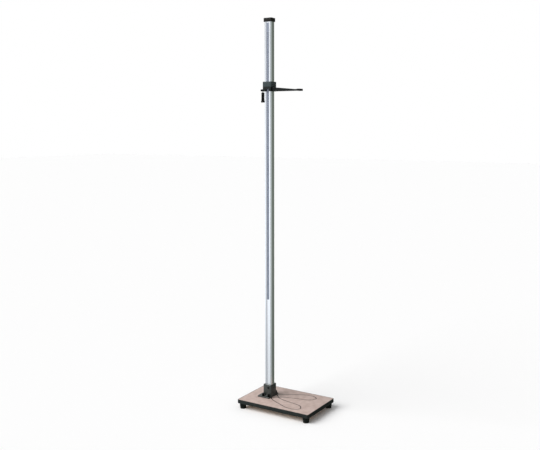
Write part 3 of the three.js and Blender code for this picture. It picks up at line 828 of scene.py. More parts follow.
def node_middle(name: str) -> Vector:
    """Give the middle of a CAD node's box in millimetres."""
    low, high = node_box(name)
    return (low + high) / 2


def four_places(name: str) -> list[Vector]:
    """Give the middles of the four CAD nodes that share a name, in the order of their numbers."""
    return [node_middle(f"{name}_{number}") for number in range(1, 5)]


def washer(node: str, bore: float, centre: Vector, rounding: float = 0.3) -> Mesh:
    """Turn a washer to the width and height of its CAD node.

    Args:
        node: the node's name.
        bore: the radius of its hole.
        centre: where its axis stands.
        rounding: how far the rounding of its edges reaches.

    Returns:
        The washer.
    """
    low, high = node_box(node)
    return sleeve(bore, (high.x - low.x) / 2, (low.z, high.z), rounding, centre)


def hex_key(head: Vector, across: float, depth: float, axis: Axis, way: int) -> Mesh:
    """Make the cutter of a hexagon socket.

    Args:
        head: the middle of the screw's outer face.
        across: the hexagon's radius to its corners.
        depth: how deep the socket goes.
        axis: the screw's axis.
        way: one where the head faces up the axis, and minus one where it faces down it.

    Returns:
        The cutter.
    """
    along = Vector(axis.value)
    start = head - along * (depth if way > 0 else OVERCUT)
    return drum(start, across, depth + OVERCUT, axis, 6)


class Assembly:
    """A sub-assembly, whose pieces ride on one CAD body."""

    body = "stand"

    def finish(self, piece: Mesh, name: str, finish: Finish, slot: str, *nodes: str) -> None:
        """Turn a piece to metres, dress it and seat it on its body.

        Args:
            piece: the piece, in millimetres.
            name: its name.
            finish: its finish.
            slot: the record's material slot; not used.
            nodes: the CAD nodes that it stands for.
        """
        piece.name = name
        piece.data.name = name
        piece.scale = (MM, MM, MM)
        apply_place(piece)
        bpy.ops.object.shade_smooth_by_angle(angle=SMOOTH_ANGLE)
        piece.data.materials.clear()
        piece.data.materials.append(finish.material())
        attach(piece, self.body)
        if nodes:
            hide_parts(*nodes)
        LOG.info("%s: %d faces in %s", name, len(piece.data.polygons), finish.name)

    def repeat(self, places: Sequence[Vector], *patterns: tuple[Mesh, str, Finish, str, str]) -> None:
        """Copy pieces from the first place to every place, finish the copies, and remove the patterns.

        Args:
            places: where the copies stand, in the order of their numbers.
            patterns: each piece with its name, its finish, its slot and its CAD node, both names
                without their number.
        """
        for number, place in enumerate(places, 1):
            offset = Vector((place.x - places[0].x, place.y - places[0].y, 0))
            for piece, name, finish, slot, node in patterns:
                self.finish(copied(piece, offset), f"{name}_{number}", finish, slot, f"{node}_{number}")
        for piece, *_ in patterns:
            bpy.data.objects.remove(piece)

    def dress(self, node: str, finish: Finish) -> None:
        """Give a CAD node, whose shape is already right, its finish."""
        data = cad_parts[node].data
        data.materials.clear()
        data.materials.append(finish.material())
        LOG.info("%s: kept, in %s", node, finish.name)


@dataclass
class Fastener:
    """A socket head screw: shank, head with a knurled or a plain side, and a hexagon socket."""

    shank: float
    head: float
    head_height: float
    key: float
    key_depth: float
    knurls: int = 0
    knurl_depth: float = 0.22
    rounding: float = 0.6
    # How much of its radius the shank loses at its point, over the same length
    point: float = 0.2

    def make(self, seat: Vector, length: float, axis: Axis, way: int) -> Mesh:
        """Make the screw.

        Args:
            seat: where the underside of its head sits.
            length: how far its shank reaches from there.
            axis: the screw's axis.
            way: one where the head faces up the axis, and minus one where it faces down it.

        Returns:
            The screw.
        """
        points = max(self.knurls * 2, SIDES)
        along = Vector(axis.value) * way
        first = Vector((0, 1, 0)) if axis is not Axis.Y else Vector((1, 0, 0))
        second = along.cross(first)

        def ring(radius: float, height: float, knurled: bool = False) -> Section:
            """Give one ring of the screw's surface."""
            dips = [self.knurl_depth * (i % 2) if knurled and self.knurls else 0 for i in range(points)]
            turns = [math.tau * i / points for i in range(points)]
            return [seat + along * height + (first * math.cos(t) + second * math.sin(t)) * (radius - dip)
                    for t, dip in zip(turns, dips)]

        top = self.head_height
        crown = [ring(self.head - self.rounding * (1 - math.cos(t)), top - self.rounding * (1 - math.sin(t)),
                      step == 0) for step, t in enumerate(quarter_turn())]
        piece = loft([
            ring(self.shank * (1 - self.point), -length),
            ring(self.shank, -length + self.shank * self.point),
            ring(self.shank, -HAIR), ring(self.head - self.rounding / 2, 0),
            ring(self.head, self.rounding / 2, True), *crown])
        return cut(piece, hex_key(seat + along * top, self.key, self.key_depth, axis, way))


@dataclass
class FootBoard(Assembly):
    """The board: chipboard core, laminate deck, edging, outlines of two feet, and four rubber feet."""

    corner: float = 8
    band: float = 2.5
    edge_round: float = 1.1
    deck_round: float = 0.35
    line_width: float = 5.0
    ink: float = 0.05
    # The share of its thickness by which the ink stands clear of the deck
    ink_float: float = 0.2
    bolt_hole: float = 4.4
    foot_top: float = 19
    foot_bottom: float = 16
    foot_bore: float = 8.5
    foot_web: float = 10
    foot_round: float = 1.6
    foot_sides: int = 56
    groove: float = 0.8
    groove_places: tuple[float, float] = (0.35, 0.65)
    washer_bore: float = 2.8
    fixing: Fastener = field(default_factory=lambda: Fastener(2.5, 5, 3.2, 2.5, 1.8))
    # The left foot's outline, from the column's axis: its heel lies under the bracket
    outline: tuple[tuple[float, float], ...] = (
        (14, 14), (30, 37), (46, 51), (80, 71), (130, 96), (160, 110), (193, 118), (222, 116), (242, 104),
        (250, 90), (245, 73), (226, 51), (200, 41), (165, 34), (130, 27), (100, 19), (72, 8), (50, -11),
        (30, -29), (13, -14))

    def build(self, column_x: float) -> None:
        """Make and dress the board's pieces.

        Args:
            column_x: where the column's axis stands.
        """
        self.dress("base_core", CHIP_CORE)
        self.make_deck()
        self.make_band()
        self.make_outlines(column_x)
        self.make_feet()

    def make_deck(self) -> None:
        """Make the laminate, with the holes that the bracket's bolts pass."""
        low, high = node_box("foot_deck")
        deck = node_outline("foot_deck", self.corner - self.band).solid(low.z, high.z, 0, self.deck_round)
        through = high.z - low.z + 2 * OVERCUT
        holes = [drum(Vector((place.x, place.y, low.z - OVERCUT)), self.bolt_hole, through, Axis.Z)
                 for place in four_places("flange_nut")]
        self.finish(cut(deck, *holes), "deck_laminate", DECK_LAMINATE, "deck_laminate", "foot_deck")

    def make_band(self) -> None:
        """Make the edging as a wall round the board, thick towards the inside, with rounded edges."""
        low, high = node_box("edge_band")
        outer = node_outline("edge_band", self.corner)
        band = outer.solid(low.z, high.z, self.edge_round, self.edge_round)
        hollow = outer.inset(self.band).solid(low.z - OVERCUT, high.z + OVERCUT)
        self.finish(cut(band, hollow), "edge_trim", EDGE_ABS, "edge_band", "edge_band")

    def make_outlines(self, column_x: float) -> None:
        """Draw one foot's outline as a smooth closed line, widen it to the line's width, and mirror it.

        Args:
            column_x: where the column's axis stands.
        """
        deck_top = node_box("foot_deck")[1].z
        deselect()
        bpy.ops.curve.primitive_bezier_circle_add()
        curve = bpy.context.object
        bpy.ops.object.mode_set(mode="EDIT")
        bpy.ops.curve.select_all(action="SELECT")
        bpy.ops.curve.subdivide(number_cuts=len(self.outline) // 4 - 1)
        bpy.ops.object.mode_set(mode="OBJECT")
        for knot, (x, y) in zip(curve.data.splines[0].bezier_points, self.outline):
            knot.handle_left_type = knot.handle_right_type = "AUTO"
            knot.co = (column_x + x, y, deck_top)
        curve.data.resolution_u = 8
        bpy.ops.object.convert(target="MESH")
        with editing(curve, Pick.POINTS):
            bpy.ops.mesh.select_all(action="SELECT")
            bpy.ops.mesh.edge_face_add()
            bpy.ops.mesh.inset(thickness=self.line_width, use_even_offset=True)
            bpy.ops.mesh.delete(type="FACE")
        modified(curve, "SOLIDIFY", thickness=self.ink, offset=1)
        with editing(curve, Pick.FACES):
            face_outwards()
            ink_top = max(v.co.z for v in bmesh.from_edit_mesh(curve.data).verts)
            bpy.ops.transform.translate(
                value=(0, 0, deck_top + self.ink - ink_top + self.ink * self.ink_float))
        other = copied(curve, Vector(), mirror_y=True)
        self.finish(curve, "foot_outline_left", OUTLINE_INK, "deck_laminate")
        self.finish(other, "foot_outline_right", OUTLINE_INK, "deck_laminate")

    def foot_profile(self, height: float) -> Profile:
        """Give the section of a foot, with a screw bore and two grooves in its tread."""
        tread = self.foot_bottom - self.foot_bore
        marks = []
        for share in self.groove_places:
            middle = self.foot_bore + tread * share
            marks += [(middle - self.groove, 0), (middle, self.groove), (middle + self.groove, 0)]
        inner = height - self.foot_web
        return [
            (self.washer_bore, inner), (self.foot_bore, inner), (self.foot_bore, 0), *marks,
            (self.foot_bottom, 0), (self.foot_top, height), (self.washer_bore, height),
            (self.washer_bore, inner)]

    def make_feet(self) -> None:
        """Model one foot with its washer and screw, and copy them to the other corners."""
        places = four_places("foot")
        low, high = node_box("foot_1")
        screw_low, screw_high = node_box("foot_screw_1")
        first = Vector((places[0].x, places[0].y, 0))
        profile = softened(self.foot_profile(high.z), self.foot_round)
        foot = turned(profile, first + Vector((0, 0, low.z)), steps=self.foot_sides)
        plate = washer("foot_washer_1", self.washer_bore, first)
        seat = first + Vector((0, 0, screw_low.z + self.fixing.head_height))
        fixing = self.fixing.make(seat, screw_high.z - seat.z, Axis.Z, -1)
        self.repeat(
            places, (foot, "rubber_foot", FOOT_RUBBER, "foot_rubber", "foot"),
            (plate, "foot_plate", ZINC_STEEL, "zinc_steel", "foot_washer"),
            (fixing, "foot_fixing", ZINC_STEEL, "zinc_steel", "foot_screw"))


@dataclass
class Bracket(Assembly):
    """The casting that holds the column, with its bolts, washers and nuts."""

    flange: float = 7
    flange_corner: float = 4
    flange_bevel: float = 2.5
    socket_wall_x: float = 3.3
    socket_wall_y: float = 9.3
    socket_corner: float = 3.5
    column_corner: float = 8
    floor: float = 4
    rim: float = 1.2
    fillet: float = 12
    flare: float = 3
    boss: float = 8
    boss_height: float = 1
    boss_root: float = 2
    boss_round: float = 0.5
    sink: float = 5.6
    sink_depth: float = 12
    # A nut's end: the share of its radius that stays flat, and of its height that is turned off
    nut_flat: float = 0.86
    nut_bevel: float = 0.12
    bolt: Fastener = field(default_factory=lambda: Fastener(4, 6.5, 12, 3.4, 5, knurls=36))
    cross_bolt: Fastener = field(default_factory=lambda: Fastener(3, 5, 3.5, 2.6, 2, rounding=0.8))
    washer_bore: float = 4.3

    def build(self) -> None:
        """Make and dress the bracket's pieces."""
        self.make_casting()
        self.make_flange_bolts()
        self.make_cross_bolts()

    def make_casting(self) -> None:
        """Loft flange and socket in one skin, then cut the column's pocket and the holes."""
        low, high = node_box("column_bracket")
        column = node_outline("column", self.column_corner)
        board = node_box("foot_deck")[1].z
        flange = node_outline("column_bracket", self.flange_corner)
        socket = Outline(
            column.low_x - self.socket_wall_x, column.high_x + self.socket_wall_x,
            column.low_y - self.socket_wall_y, column.high_y + self.socket_wall_y, self.socket_corner)
        flange_top = board + self.flange
        turns = quarter_turn()
        sections = [flange.at(low.z)]
        for turn in turns:
            reach = self.flange_bevel * (1 - math.cos(turn))
            ledge = min(reach, high.x - socket.high_x)
            shrunk = replace(flange, low_x=low.x + reach, high_x=high.x - ledge,
                             low_y=low.y + reach, high_y=high.y - reach)
            sections.append(shrunk.at(flange_top - self.flange_bevel * (1 - math.sin(turn))))
        for turn in turns:
            spread = self.flare * (1 - math.sin(turn))
            toe = replace(socket, low_x=socket.low_x - spread, low_y=socket.low_y - spread,
                          high_y=socket.high_y + spread, radius=self.socket_corner + spread / 2)
            sections.append(toe.at(flange_top + self.fillet * (1 - math.cos(turn))))
        sections += socket.pillar(0, high.z, 0, self.rim)[1:]
        casting = loft(sections)
        bolt = node_middle("socket_bolt_left")
        boss = sleeve(0, self.boss, (-self.boss_root, self.boss_height), self.boss_round,
                      Vector((bolt.x, socket.high_y, bolt.z)), Axis.Y, edge_steps=3)
        fuse(casting, boss, copied(boss, Vector(), mirror_y=True))
        pocket = column.inset(-ROOM).solid(board + self.floor, high.z + OVERCUT)
        holes = [drum(Vector((place.x, place.y, low.z - OVERCUT)), self.washer_bore,
                      self.flange + 4 * OVERCUT, Axis.Z, HOLE_SIDES) for place in four_places("flange_bolt")]
        seat = node_box("socket_bolt_left")[1].y - self.cross_bolt.head_height - ROOM
        sinks = [drum(Vector((bolt.x, start, bolt.z)), self.sink, self.sink_depth, Axis.Y)
                 for start in (seat, -seat - self.sink_depth)]
        bore = drum(Vector((bolt.x, low.y, bolt.z)), self.cross_bolt.shank + ROOM, high.y - low.y, Axis.Y)
        cut(casting, pocket, *holes, *sinks, bore)
        self.finish(casting, "bracket_casting", POWDER_COAT, "bracket_black", "column_bracket")

    def make_flange_bolts(self) -> None:
        """Model one bolt with its washer and nut, and copy them to the other holes."""
        places = four_places("flange_bolt")
        first = Vector((places[0].x, places[0].y, 0))
        low, high = node_box("flange_bolt_1")
        seat = first + Vector((0, 0, high.z - self.bolt.head_height))
        bolt = self.bolt.make(seat, seat.z - low.z, Axis.Z, 1)
        plate = washer("flange_washer_1", self.washer_bore, first)
        nut = self.make_nut(first)
        self.repeat(
            places, (bolt, "board_bolt", BLACK_STEEL, "black_steel", "flange_bolt"),
            (plate, "board_washer", BLACK_STEEL, "black_steel", "flange_washer"),
            (nut, "board_nut", ZINC_STEEL, "zinc_steel", "flange_nut"))

    def make_nut(self, centre: Vector) -> Mesh:
        """Make a hexagon nut with the corners of its ends turned off.

        Args:
            centre: where its axis stands.

        Returns:
            The nut.
        """
        low, high = node_box("flange_nut_1")
        radius = max(high.x - low.x, high.y - low.y) / 2
        height = high.z - low.z
        flat, bevel = radius * self.nut_flat, height * self.nut_bevel
        nut = drum(centre + Vector((0, 0, low.z)), radius, height, Axis.Z, 6)
        lens = turned([
            (0, low.z), (flat, low.z), (radius, low.z + bevel), (radius, high.z - bevel), (flat, high.z),
            (0, high.z)], centre, steps=60)
        bore = drum(centre + Vector((0, 0, low.z - OVERCUT)), self.washer_bore, height + 2 * OVERCUT, Axis.Z,
                    HOLE_SIDES)
        return cut(trim(nut, lens), bore)

    def make_cross_bolts(self) -> None:
        """Make the bolt that locks the column from one scale side, and its copy on the other."""
        low, high = node_box("socket_bolt_left")
        middle = node_middle("socket_bolt_left")
        seat = Vector((middle.x, high.y - self.cross_bolt.head_height, middle.z))
        left = self.cross_bolt.make(seat, seat.y - low.y, Axis.Y, 1)
        right = copied(left, Vector(), mirror_y=True)
        self.finish(left, "cross_bolt_left", BLACK_STEEL, "black_steel", "socket_bolt_left")
        self.finish(right, "cross_bolt_right", BLACK_STEEL, "black_steel", "socket_bolt_right")


@dataclass
class Post(Assembly):
    """The column, its cap and the two printed scales."""

    corner: float = 8
    corner_steps: int = 10
    wall: float = 2
    bolt_hole: float = 3.3
    groove_width: float = 25
    groove_depth: float = 1.5
    groove_steps: int = 20
    cap_corner: float = 4
    cap_round: float = 1.5
    cap_foot_round: float = 0.6
    film_gap: float = 0.2
    film: float = 0.35
    film_margin: float = 0.25
    film_steps: int = 10
    first_mark: int = 56
    last_mark: int = 200
    line: float = 0.3
    fine_reach: float = 2.9
    half_reach: float = 1.0
    full_reach: float = 1.9
    digit_height: float = 4.3
    digit_width_share: float = 0.74
    # A figure's height as a share of the letters' size
    figure_share: float = 0.7
    ink: float = 0.03
    # The share of its thickness by which the ink stands clear of the film
    ink_float: float = 0.3

    def build(self) -> None:
        """Make and dress the column's pieces."""
        self.make_column()
        self.make_cap()
        for side in Side:
            self.make_scale(side)

    @property
    def groove_radius(self) -> float:
        """The radius of the hollow down each scale side."""
        return ((self.groove_width / 2) ** 2 + self.groove_depth ** 2) / (2 * self.groove_depth)

    def hollow_y(self, x: float, above: float = 0) -> float:
        """Give how far out the hollow's surface lies.

        Args:
            x: the place across the hollow, from its middle.
            above: how far above the surface.

        Returns:
            The distance from the column's middle plane.
        """
        radius = self.groove_radius
        centre = node_box("column")[1].y + radius - self.groove_depth
        return centre - math.sqrt((radius - above) ** 2 - x ** 2)

    def make_column(self) -> None:
        """Extrude the column's outline, with both hollows, and cut its bore."""
        low, high = node_box("column")
        middle = (low.x + high.x) / 2
        corners = replace(node_outline("column", self.corner), corner_steps=self.corner_steps).corners()
        arc = [self.groove_width * (0.5 - step / self.groove_steps) for step in range(self.groove_steps + 1)]
        hollows = {
            side: [(middle + side.value * x, side.value * self.hollow_y(x)) for x in arc] for side in Side}
        quarter = len(corners) // 4
        plan = (corners[:quarter] + hollows[Side.LEFT] + corners[quarter:3 * quarter]
                + hollows[Side.RIGHT] + corners[3 * quarter:])
        column = loft([[Vector((x, y, z)) for x, y in plan] for z in (low.z, high.z)])
        thinner = self.wall + self.groove_depth
        bore = Outline(low.x + self.wall, high.x - self.wall, low.y + thinner, high.y - thinner,
                       self.corner - self.wall).solid(low.z - OVERCUT, high.z + OVERCUT)
        bolt = node_middle("socket_bolt_left")
        hole = drum(Vector((bolt.x, low.y - OVERCUT, bolt.z)), self.bolt_hole, high.y - low.y + 2 * OVERCUT,
                    Axis.Y, HOLE_SIDES)
        self.finish(cut(column, bore, hole), "column_extrusion", ANODISED, "column_aluminium", "column")

    def make_cap(self) -> None:
        """Make the cap with a soft top edge, hollow where it takes the column's end."""
        low, high = node_box("column_cap")
        column_top = node_box("column")[1].z
        cap = node_outline("column_cap", self.cap_corner).solid(
            low.z, high.z, self.cap_foot_round, self.cap_round)
        cut(cap, node_outline("column", self.corner).inset(-ROOM).solid(low.z - OVERCUT, column_top + ROOM))
        self.finish(cap, "cap_moulding", CAP_PLASTIC, "cap_plastic", "column_cap")

    def make_scale(self, side: Side) -> None:
        """Make one film, curved to its hollow, and the print on it.

        Args:
            side: the side of the column.
        """
        name = side.name.lower()
        low, high = node_box(f"scale_strip_{name}")
        middle, half = (low.x + high.x) / 2, (high.x - low.x) / 2
        film_top = self.film_gap + self.film
        steps = [half * (1 - 2 * step / self.film_steps) for step in range(self.film_steps + 1)]
        plan = [(x, self.hollow_y(x, self.film_gap)) for x in steps]
        plan += [(x, self.hollow_y(x, film_top)) for x in reversed(steps)]
        film = loft([
            [Vector((middle + side.value * x, side.value * y, z)) for x, y in plan] for z in (low.z, high.z)])
        self.finish(film, f"scale_film_{name}", SCALE_FILM, "scale_strip", f"scale_strip_{name}")
        print_top = film_top + self.ink * (1 + self.ink_float)
        marks = self.make_marks(half)
        for vertex in marks.data.vertices:
            x, lift = vertex.co.x, vertex.co.y
            vertex.co.y = side.value * (self.hollow_y(x, print_top) + lift)
            vertex.co.x = middle + side.value * -x
        with editing(marks, Pick.FACES):
            face_outwards()
        self.finish(marks, f"scale_print_{name}", SCALE_INK, "scale_strip")

    def make_marks(self, half: float) -> Mesh:
        """Make the marks and numbers of one scale, flat, facing -Y, with their depth towards +Y.

        Args:
            half: half the film's width.

        Returns:
            The print, in one piece.
        """
        board = node_box("foot_deck")[1].z
        start = board + self.first_mark * CM
        length = (self.last_mark - self.first_mark) * CM
        edge = half - self.film_margin
        inner = edge - self.fine_reach
        half_end, full_end = inner - self.half_reach, inner - self.full_reach
        pieces = []
        for near, far, pitch in ((inner, edge, 1), (half_end, inner, CM // 2), (full_end, half_end, CM)):
            count = length // pitch + 1
            for way in (-1, 1):
                ends = sorted((way * near, way * far))
                mark = block(Vector((ends[0], -self.ink, start - self.line / 2)),
                             Vector((ends[1], 0, start + self.line / 2)))
                pieces.append(modified(mark, "ARRAY", count=count, use_relative_offset=False,
                                       use_constant_offset=True, constant_offset_displace=(0, 0, pitch)))
        pieces.append(self.make_numbers(board))
        take(pieces[0], *pieces[1:])
        bpy.ops.object.join()
        return pieces[0]

    def make_numbers(self, board: float) -> Mesh:
        """Set the centimetre numbers in one column of text, a line to each centimetre.

        Args:
            board: the height of the board's top, where the scale has its zero.

        Returns:
            The numbers, upright and facing -Y.
        """
        size = self.digit_height / self.figure_share
        deselect()
        bpy.ops.object.text_add()
        text = bpy.context.object
        text.data.body = "\n".join(str(mark) for mark in range(self.last_mark, self.first_mark - 1, -1))
        text.data.size = size
        text.data.space_line = CM / size
        text.data.align_x = "CENTER"
        text.data.align_y = "TOP_BASELINE"
        text.data.resolution_u = 3
        text.data.extrude = self.ink / 2
        bpy.ops.object.convert(target="MESH")
        text = bpy.context.object
        top = board + self.last_mark * CM - self.digit_height / 2
        text.rotation_euler = (math.pi / 2, 0, 0)
        text.scale = (self.digit_width_share, 1, 1)
        text.location = (0, -self.ink / 2, top)
        apply_place(text)
        return text


@dataclass
class Slider(Assembly):
    """The housing round the column, and the headboard with its collar, arm and soft tip."""

    body = "slider"
    corner: float = 3
    column_corner: float = 8
    play: float = 1
    round_edge: float = 1.2
    # Where housing and collar meet, and the collar's lower edge
    seam_round: float = 0.4
    collar_round: float = 0.8
    shut_width: float = 0.25
    shut_depth: float = 0.35
    liner_seat: float = 2.1
    collar: float = 24
    notch: float = 20
    notch_offset: float = 3.4
    notch_bridge: float = 11.5
    wall: float = 4.4
    root_height: float = 21.7
    root_width: float = 36
    end_height: float = 8.4
    end_width: float = 30
    level_share: float = 0.82
    arm_round: float = 2
    pocket_depth: float = 3
    pocket_flange: float = 4.2
    pocket_start: float = 10
    pocket_end: float = 125
    pocket_round: float = 1.2
    pocket_least: float = 0.5
    lock_height: float = 7
    boss: float = 6.5
    boss_round: float = 0.6
    screw_bore: float = 3.8
    insert_bore: float = 4.9
    # How far the insert's bore stops short of the collar's heel side
    insert_stop: float = 0.2
    fixing_hole: float = 1.8
    fixing_sink: float = 2.8
    fixing_sink_depth: float = 2.6
    tip_wall: float = 0.9
    tip_lip: float = 0.4
    tip_lip_reach: float = 0.5
    tip_nose: float = 3.2
    tip_steps: int = 5
    tip_narrowing: float = 3.75
    tip_thinning: float = 1.0
    fixing: Fastener = field(default_factory=lambda: Fastener(1.5, 2.5, 1.8, 1.25, 1, rounding=0.4))

    def build(self) -> None:
        """Make and dress the slider's pieces."""
        self.make_housing()
        self.make_headboard()
        self.make_tip()
        self.make_fixings()
        for node in ("guide_liner_lower", "guide_liner_upper"):
            self.dress(node, ACETAL)

    def bore(self, spare: float) -> Outline:
        """Give the outline that lies spare outside the column."""
        return node_outline("column", self.column_corner).inset(-spare)

    def make_housing(self) -> None:
        """Make the housing with a soft top edge and a fine shut line, open for the column and the liners."""
        low, high = node_box("slider_housing")
        outline = node_outline("slider_housing", self.corner)
        shut = low.z + 0.5 * (high.z - low.z)
        sections = outline.pillar(low.z, high.z, self.seam_round, self.round_edge)
        line = [outline.at(shut - self.shut_width), outline.inset(self.shut_depth).at(shut),
                outline.at(shut + self.shut_width)]
        lower = ROUND_STEPS + 1
        housing = loft(sections[:lower] + line + sections[lower:])
        liner_low, liner_high = node_box("guide_liner_lower")
        seat = self.bore(self.liner_seat)
        height = liner_high.z - liner_low.z + ROOM
        cut(housing, self.bore(self.play).solid(low.z - OVERCUT, high.z + OVERCUT),
            seat.solid(low.z - OVERCUT, low.z + height), seat.solid(high.z - height, high.z + OVERCUT))
        self.finish(housing, "housing_block", HOUSING_NYLON, "housing_plastic", "slider_housing")

    def arm_section(self, x: float, width: float, bottom: float, top: float) -> list[Vector]:
        """Give a section of the arm: a rectangle with rounded corners, across the arm.

        Args:
            x: where it is.
            width: its width across.
            bottom: its lower height.
            top: its upper height.

        Returns:
            Its points.
        """
        plan = Outline(-width / 2, width / 2, bottom, top, min(self.arm_round, (top - bottom) / 2 - 0.1), 5)
        return [Vector((x, y, z)) for y, z in plan.corners()]

    def make_headboard(self) -> None:
        """Fuse collar, arm and lock boss, then cut the bore, the notches, the pockets and the seats."""
        low, high = node_box("headboard")
        outline = node_outline("slider_housing", self.corner)
        base, root, end = low.z, outline.high_x, high.x
        collar = outline.solid(base, base + self.collar, self.collar_round, self.seam_round)
        level = root + (end - root) * self.level_share
        level_width = self.root_width + (self.end_width - self.root_width) * self.level_share
        arm = loft([
            self.arm_section(root - self.wall / 2, self.root_width, base, base + self.root_height),
            self.arm_section(level, level_width, base, base + self.end_height),
            self.arm_section(end, self.end_width, base, base + self.end_height)])
        axis = Vector((0, 0, base + self.lock_height))
        inside = outline.low_x + self.wall / 2
        boss = sleeve(0, self.boss, (low.x, inside), self.boss_round, axis, Axis.X)
        headboard = fuse(collar, arm, boss)
        cut(headboard, *self.headboard_cutters(low, outline, end))
        self.finish(headboard, "headboard_moulding", HEADBOARD_ABS, "headboard_plastic", "headboard")

    def headboard_cutters(self, low: Vector, outline: Outline, end: float) -> list[Mesh]:
        """Make what is cut out of the headboard.

        Args:
            low: its lowest corner.
            outline: the collar's outline.
            end: where the arm ends.

        Returns:
            The cutters.
        """
        base, heel = low.z, outline.low_x
        middle = (heel + outline.high_x) / 2
        column_y = self.bore(0).high_y
        top = base + self.collar
        cutters = [self.bore(self.play).solid(base - OVERCUT, top + OVERCUT)]
        notch_low = middle + self.notch_offset - self.notch / 2
        for way in (-1, 1):
            reach = sorted((way * column_y, way * (outline.high_y + OVERCUT)))
            cutters.append(block(Vector((notch_low, reach[0], base - OVERCUT)),
                                 Vector((notch_low + self.notch, reach[1], top - self.notch_bridge))))
            cutters.append(self.pocket(way, base, outline.high_x, end))
        for place in four_places("collar_screw"):
            start = Vector((place.x, place.y, base - OVERCUT))
            cutters += [drum(start, self.fixing_hole, self.collar + 2 * OVERCUT, Axis.Z, 24),
                        drum(start, self.fixing_sink, self.fixing_sink_depth + OVERCUT, Axis.Z, 24)]
        lock_z = base + self.lock_height
        seat_length = heel - low.x + (OVERCUT - self.insert_stop)
        cutters += [
            drum(Vector((heel - OVERCUT, 0, lock_z)), self.screw_bore, self.wall + 2 * OVERCUT, Axis.X),
            drum(Vector((low.x - OVERCUT, 0, lock_z)), self.insert_bore, seat_length, Axis.X)]
        return cutters

    def pocket(self, way: int, base: float, root: float, end: float) -> Mesh:
        """Make the cutter of the long tapering pocket in one side of the arm.

        Args:
            way: the side, by the sign of its Y.
            base: the height of the arm's underside.
            root: where the arm starts.
            end: where the arm ends.

        Returns:
            The cutter.
        """
        level = root + (end - root) * self.level_share
        slope = (self.root_height - self.end_height) / (level - root)
        start, stop = root + self.pocket_start, root + self.pocket_end
        floor = base + self.pocket_flange
        tops = [base + self.root_height - slope * (x - root) - self.pocket_flange for x in (start, stop)]
        taper = (self.root_width - self.end_width) / 2 / (end - root)
        sections = []
        for x, top in ((start, tops[0]), (stop, max(tops[1], floor + self.pocket_least))):
            wall = way * (self.root_width / 2 - taper * (x - root) - self.pocket_depth)
            outside = wall + way * self.root_width
            # The corners stay a little under half the pocket's height
            radius = min(self.pocket_round, (top - floor) / 2.2)
            plan = Outline(min(wall, outside), max(wall, outside), floor, top, radius, 4)
            sections.append([Vector((x, y, z)) for y, z in plan.corners()])
        return loft(sections)

    def make_tip(self) -> None:
        """Make the soft cap on the arm's end, with a full nose and the sleeve that grips the arm."""
        low, high = node_box("headboard_tip")
        base, arm_end = node_box("headboard")[0].z, node_box("headboard")[1].x
        width, bottom, top = high.y - low.y, low.z, high.z
        lip = self.tip_lip
        sections = [self.arm_section(low.x, width - 2 * lip, bottom + lip, top - lip),
                    self.arm_section(low.x + self.tip_lip_reach, width, bottom, top)]
        for turn in quarter_turn(self.tip_steps):
            share = 1 - math.cos(turn)
            thinning = self.tip_thinning * share
            sections.append(self.arm_section(
                high.x - self.tip_nose * (1 - math.sin(turn)), width - 2 * self.tip_narrowing * share,
                bottom + thinning, top - thinning))
        tip = loft(sections)
        mouth = loft([
            self.arm_section(x, across, base - ROOM, base + self.end_height + ROOM) for x, across in (
                (low.x - OVERCUT, width - 2 * self.tip_wall), (arm_end + ROOM, self.end_width + 2 * ROOM))])
        self.finish(cut(tip, mouth), "arm_tip", SOFT_PVC, "tip_rubber", "headboard_tip")

    def make_fixings(self) -> None:
        """Model one collar screw, head down, and copy it to the other corners."""
        places = four_places("collar_screw")
        low, high = node_box("collar_screw_1")
        seat = Vector((places[0].x, places[0].y, low.z + self.fixing.head_height))
        screw = self.fixing.make(seat, high.z - seat.z, Axis.Z, -1)
        self.repeat(places, (screw, "collar_fixing", BLACK_STEEL, "black_steel", "collar_screw"))


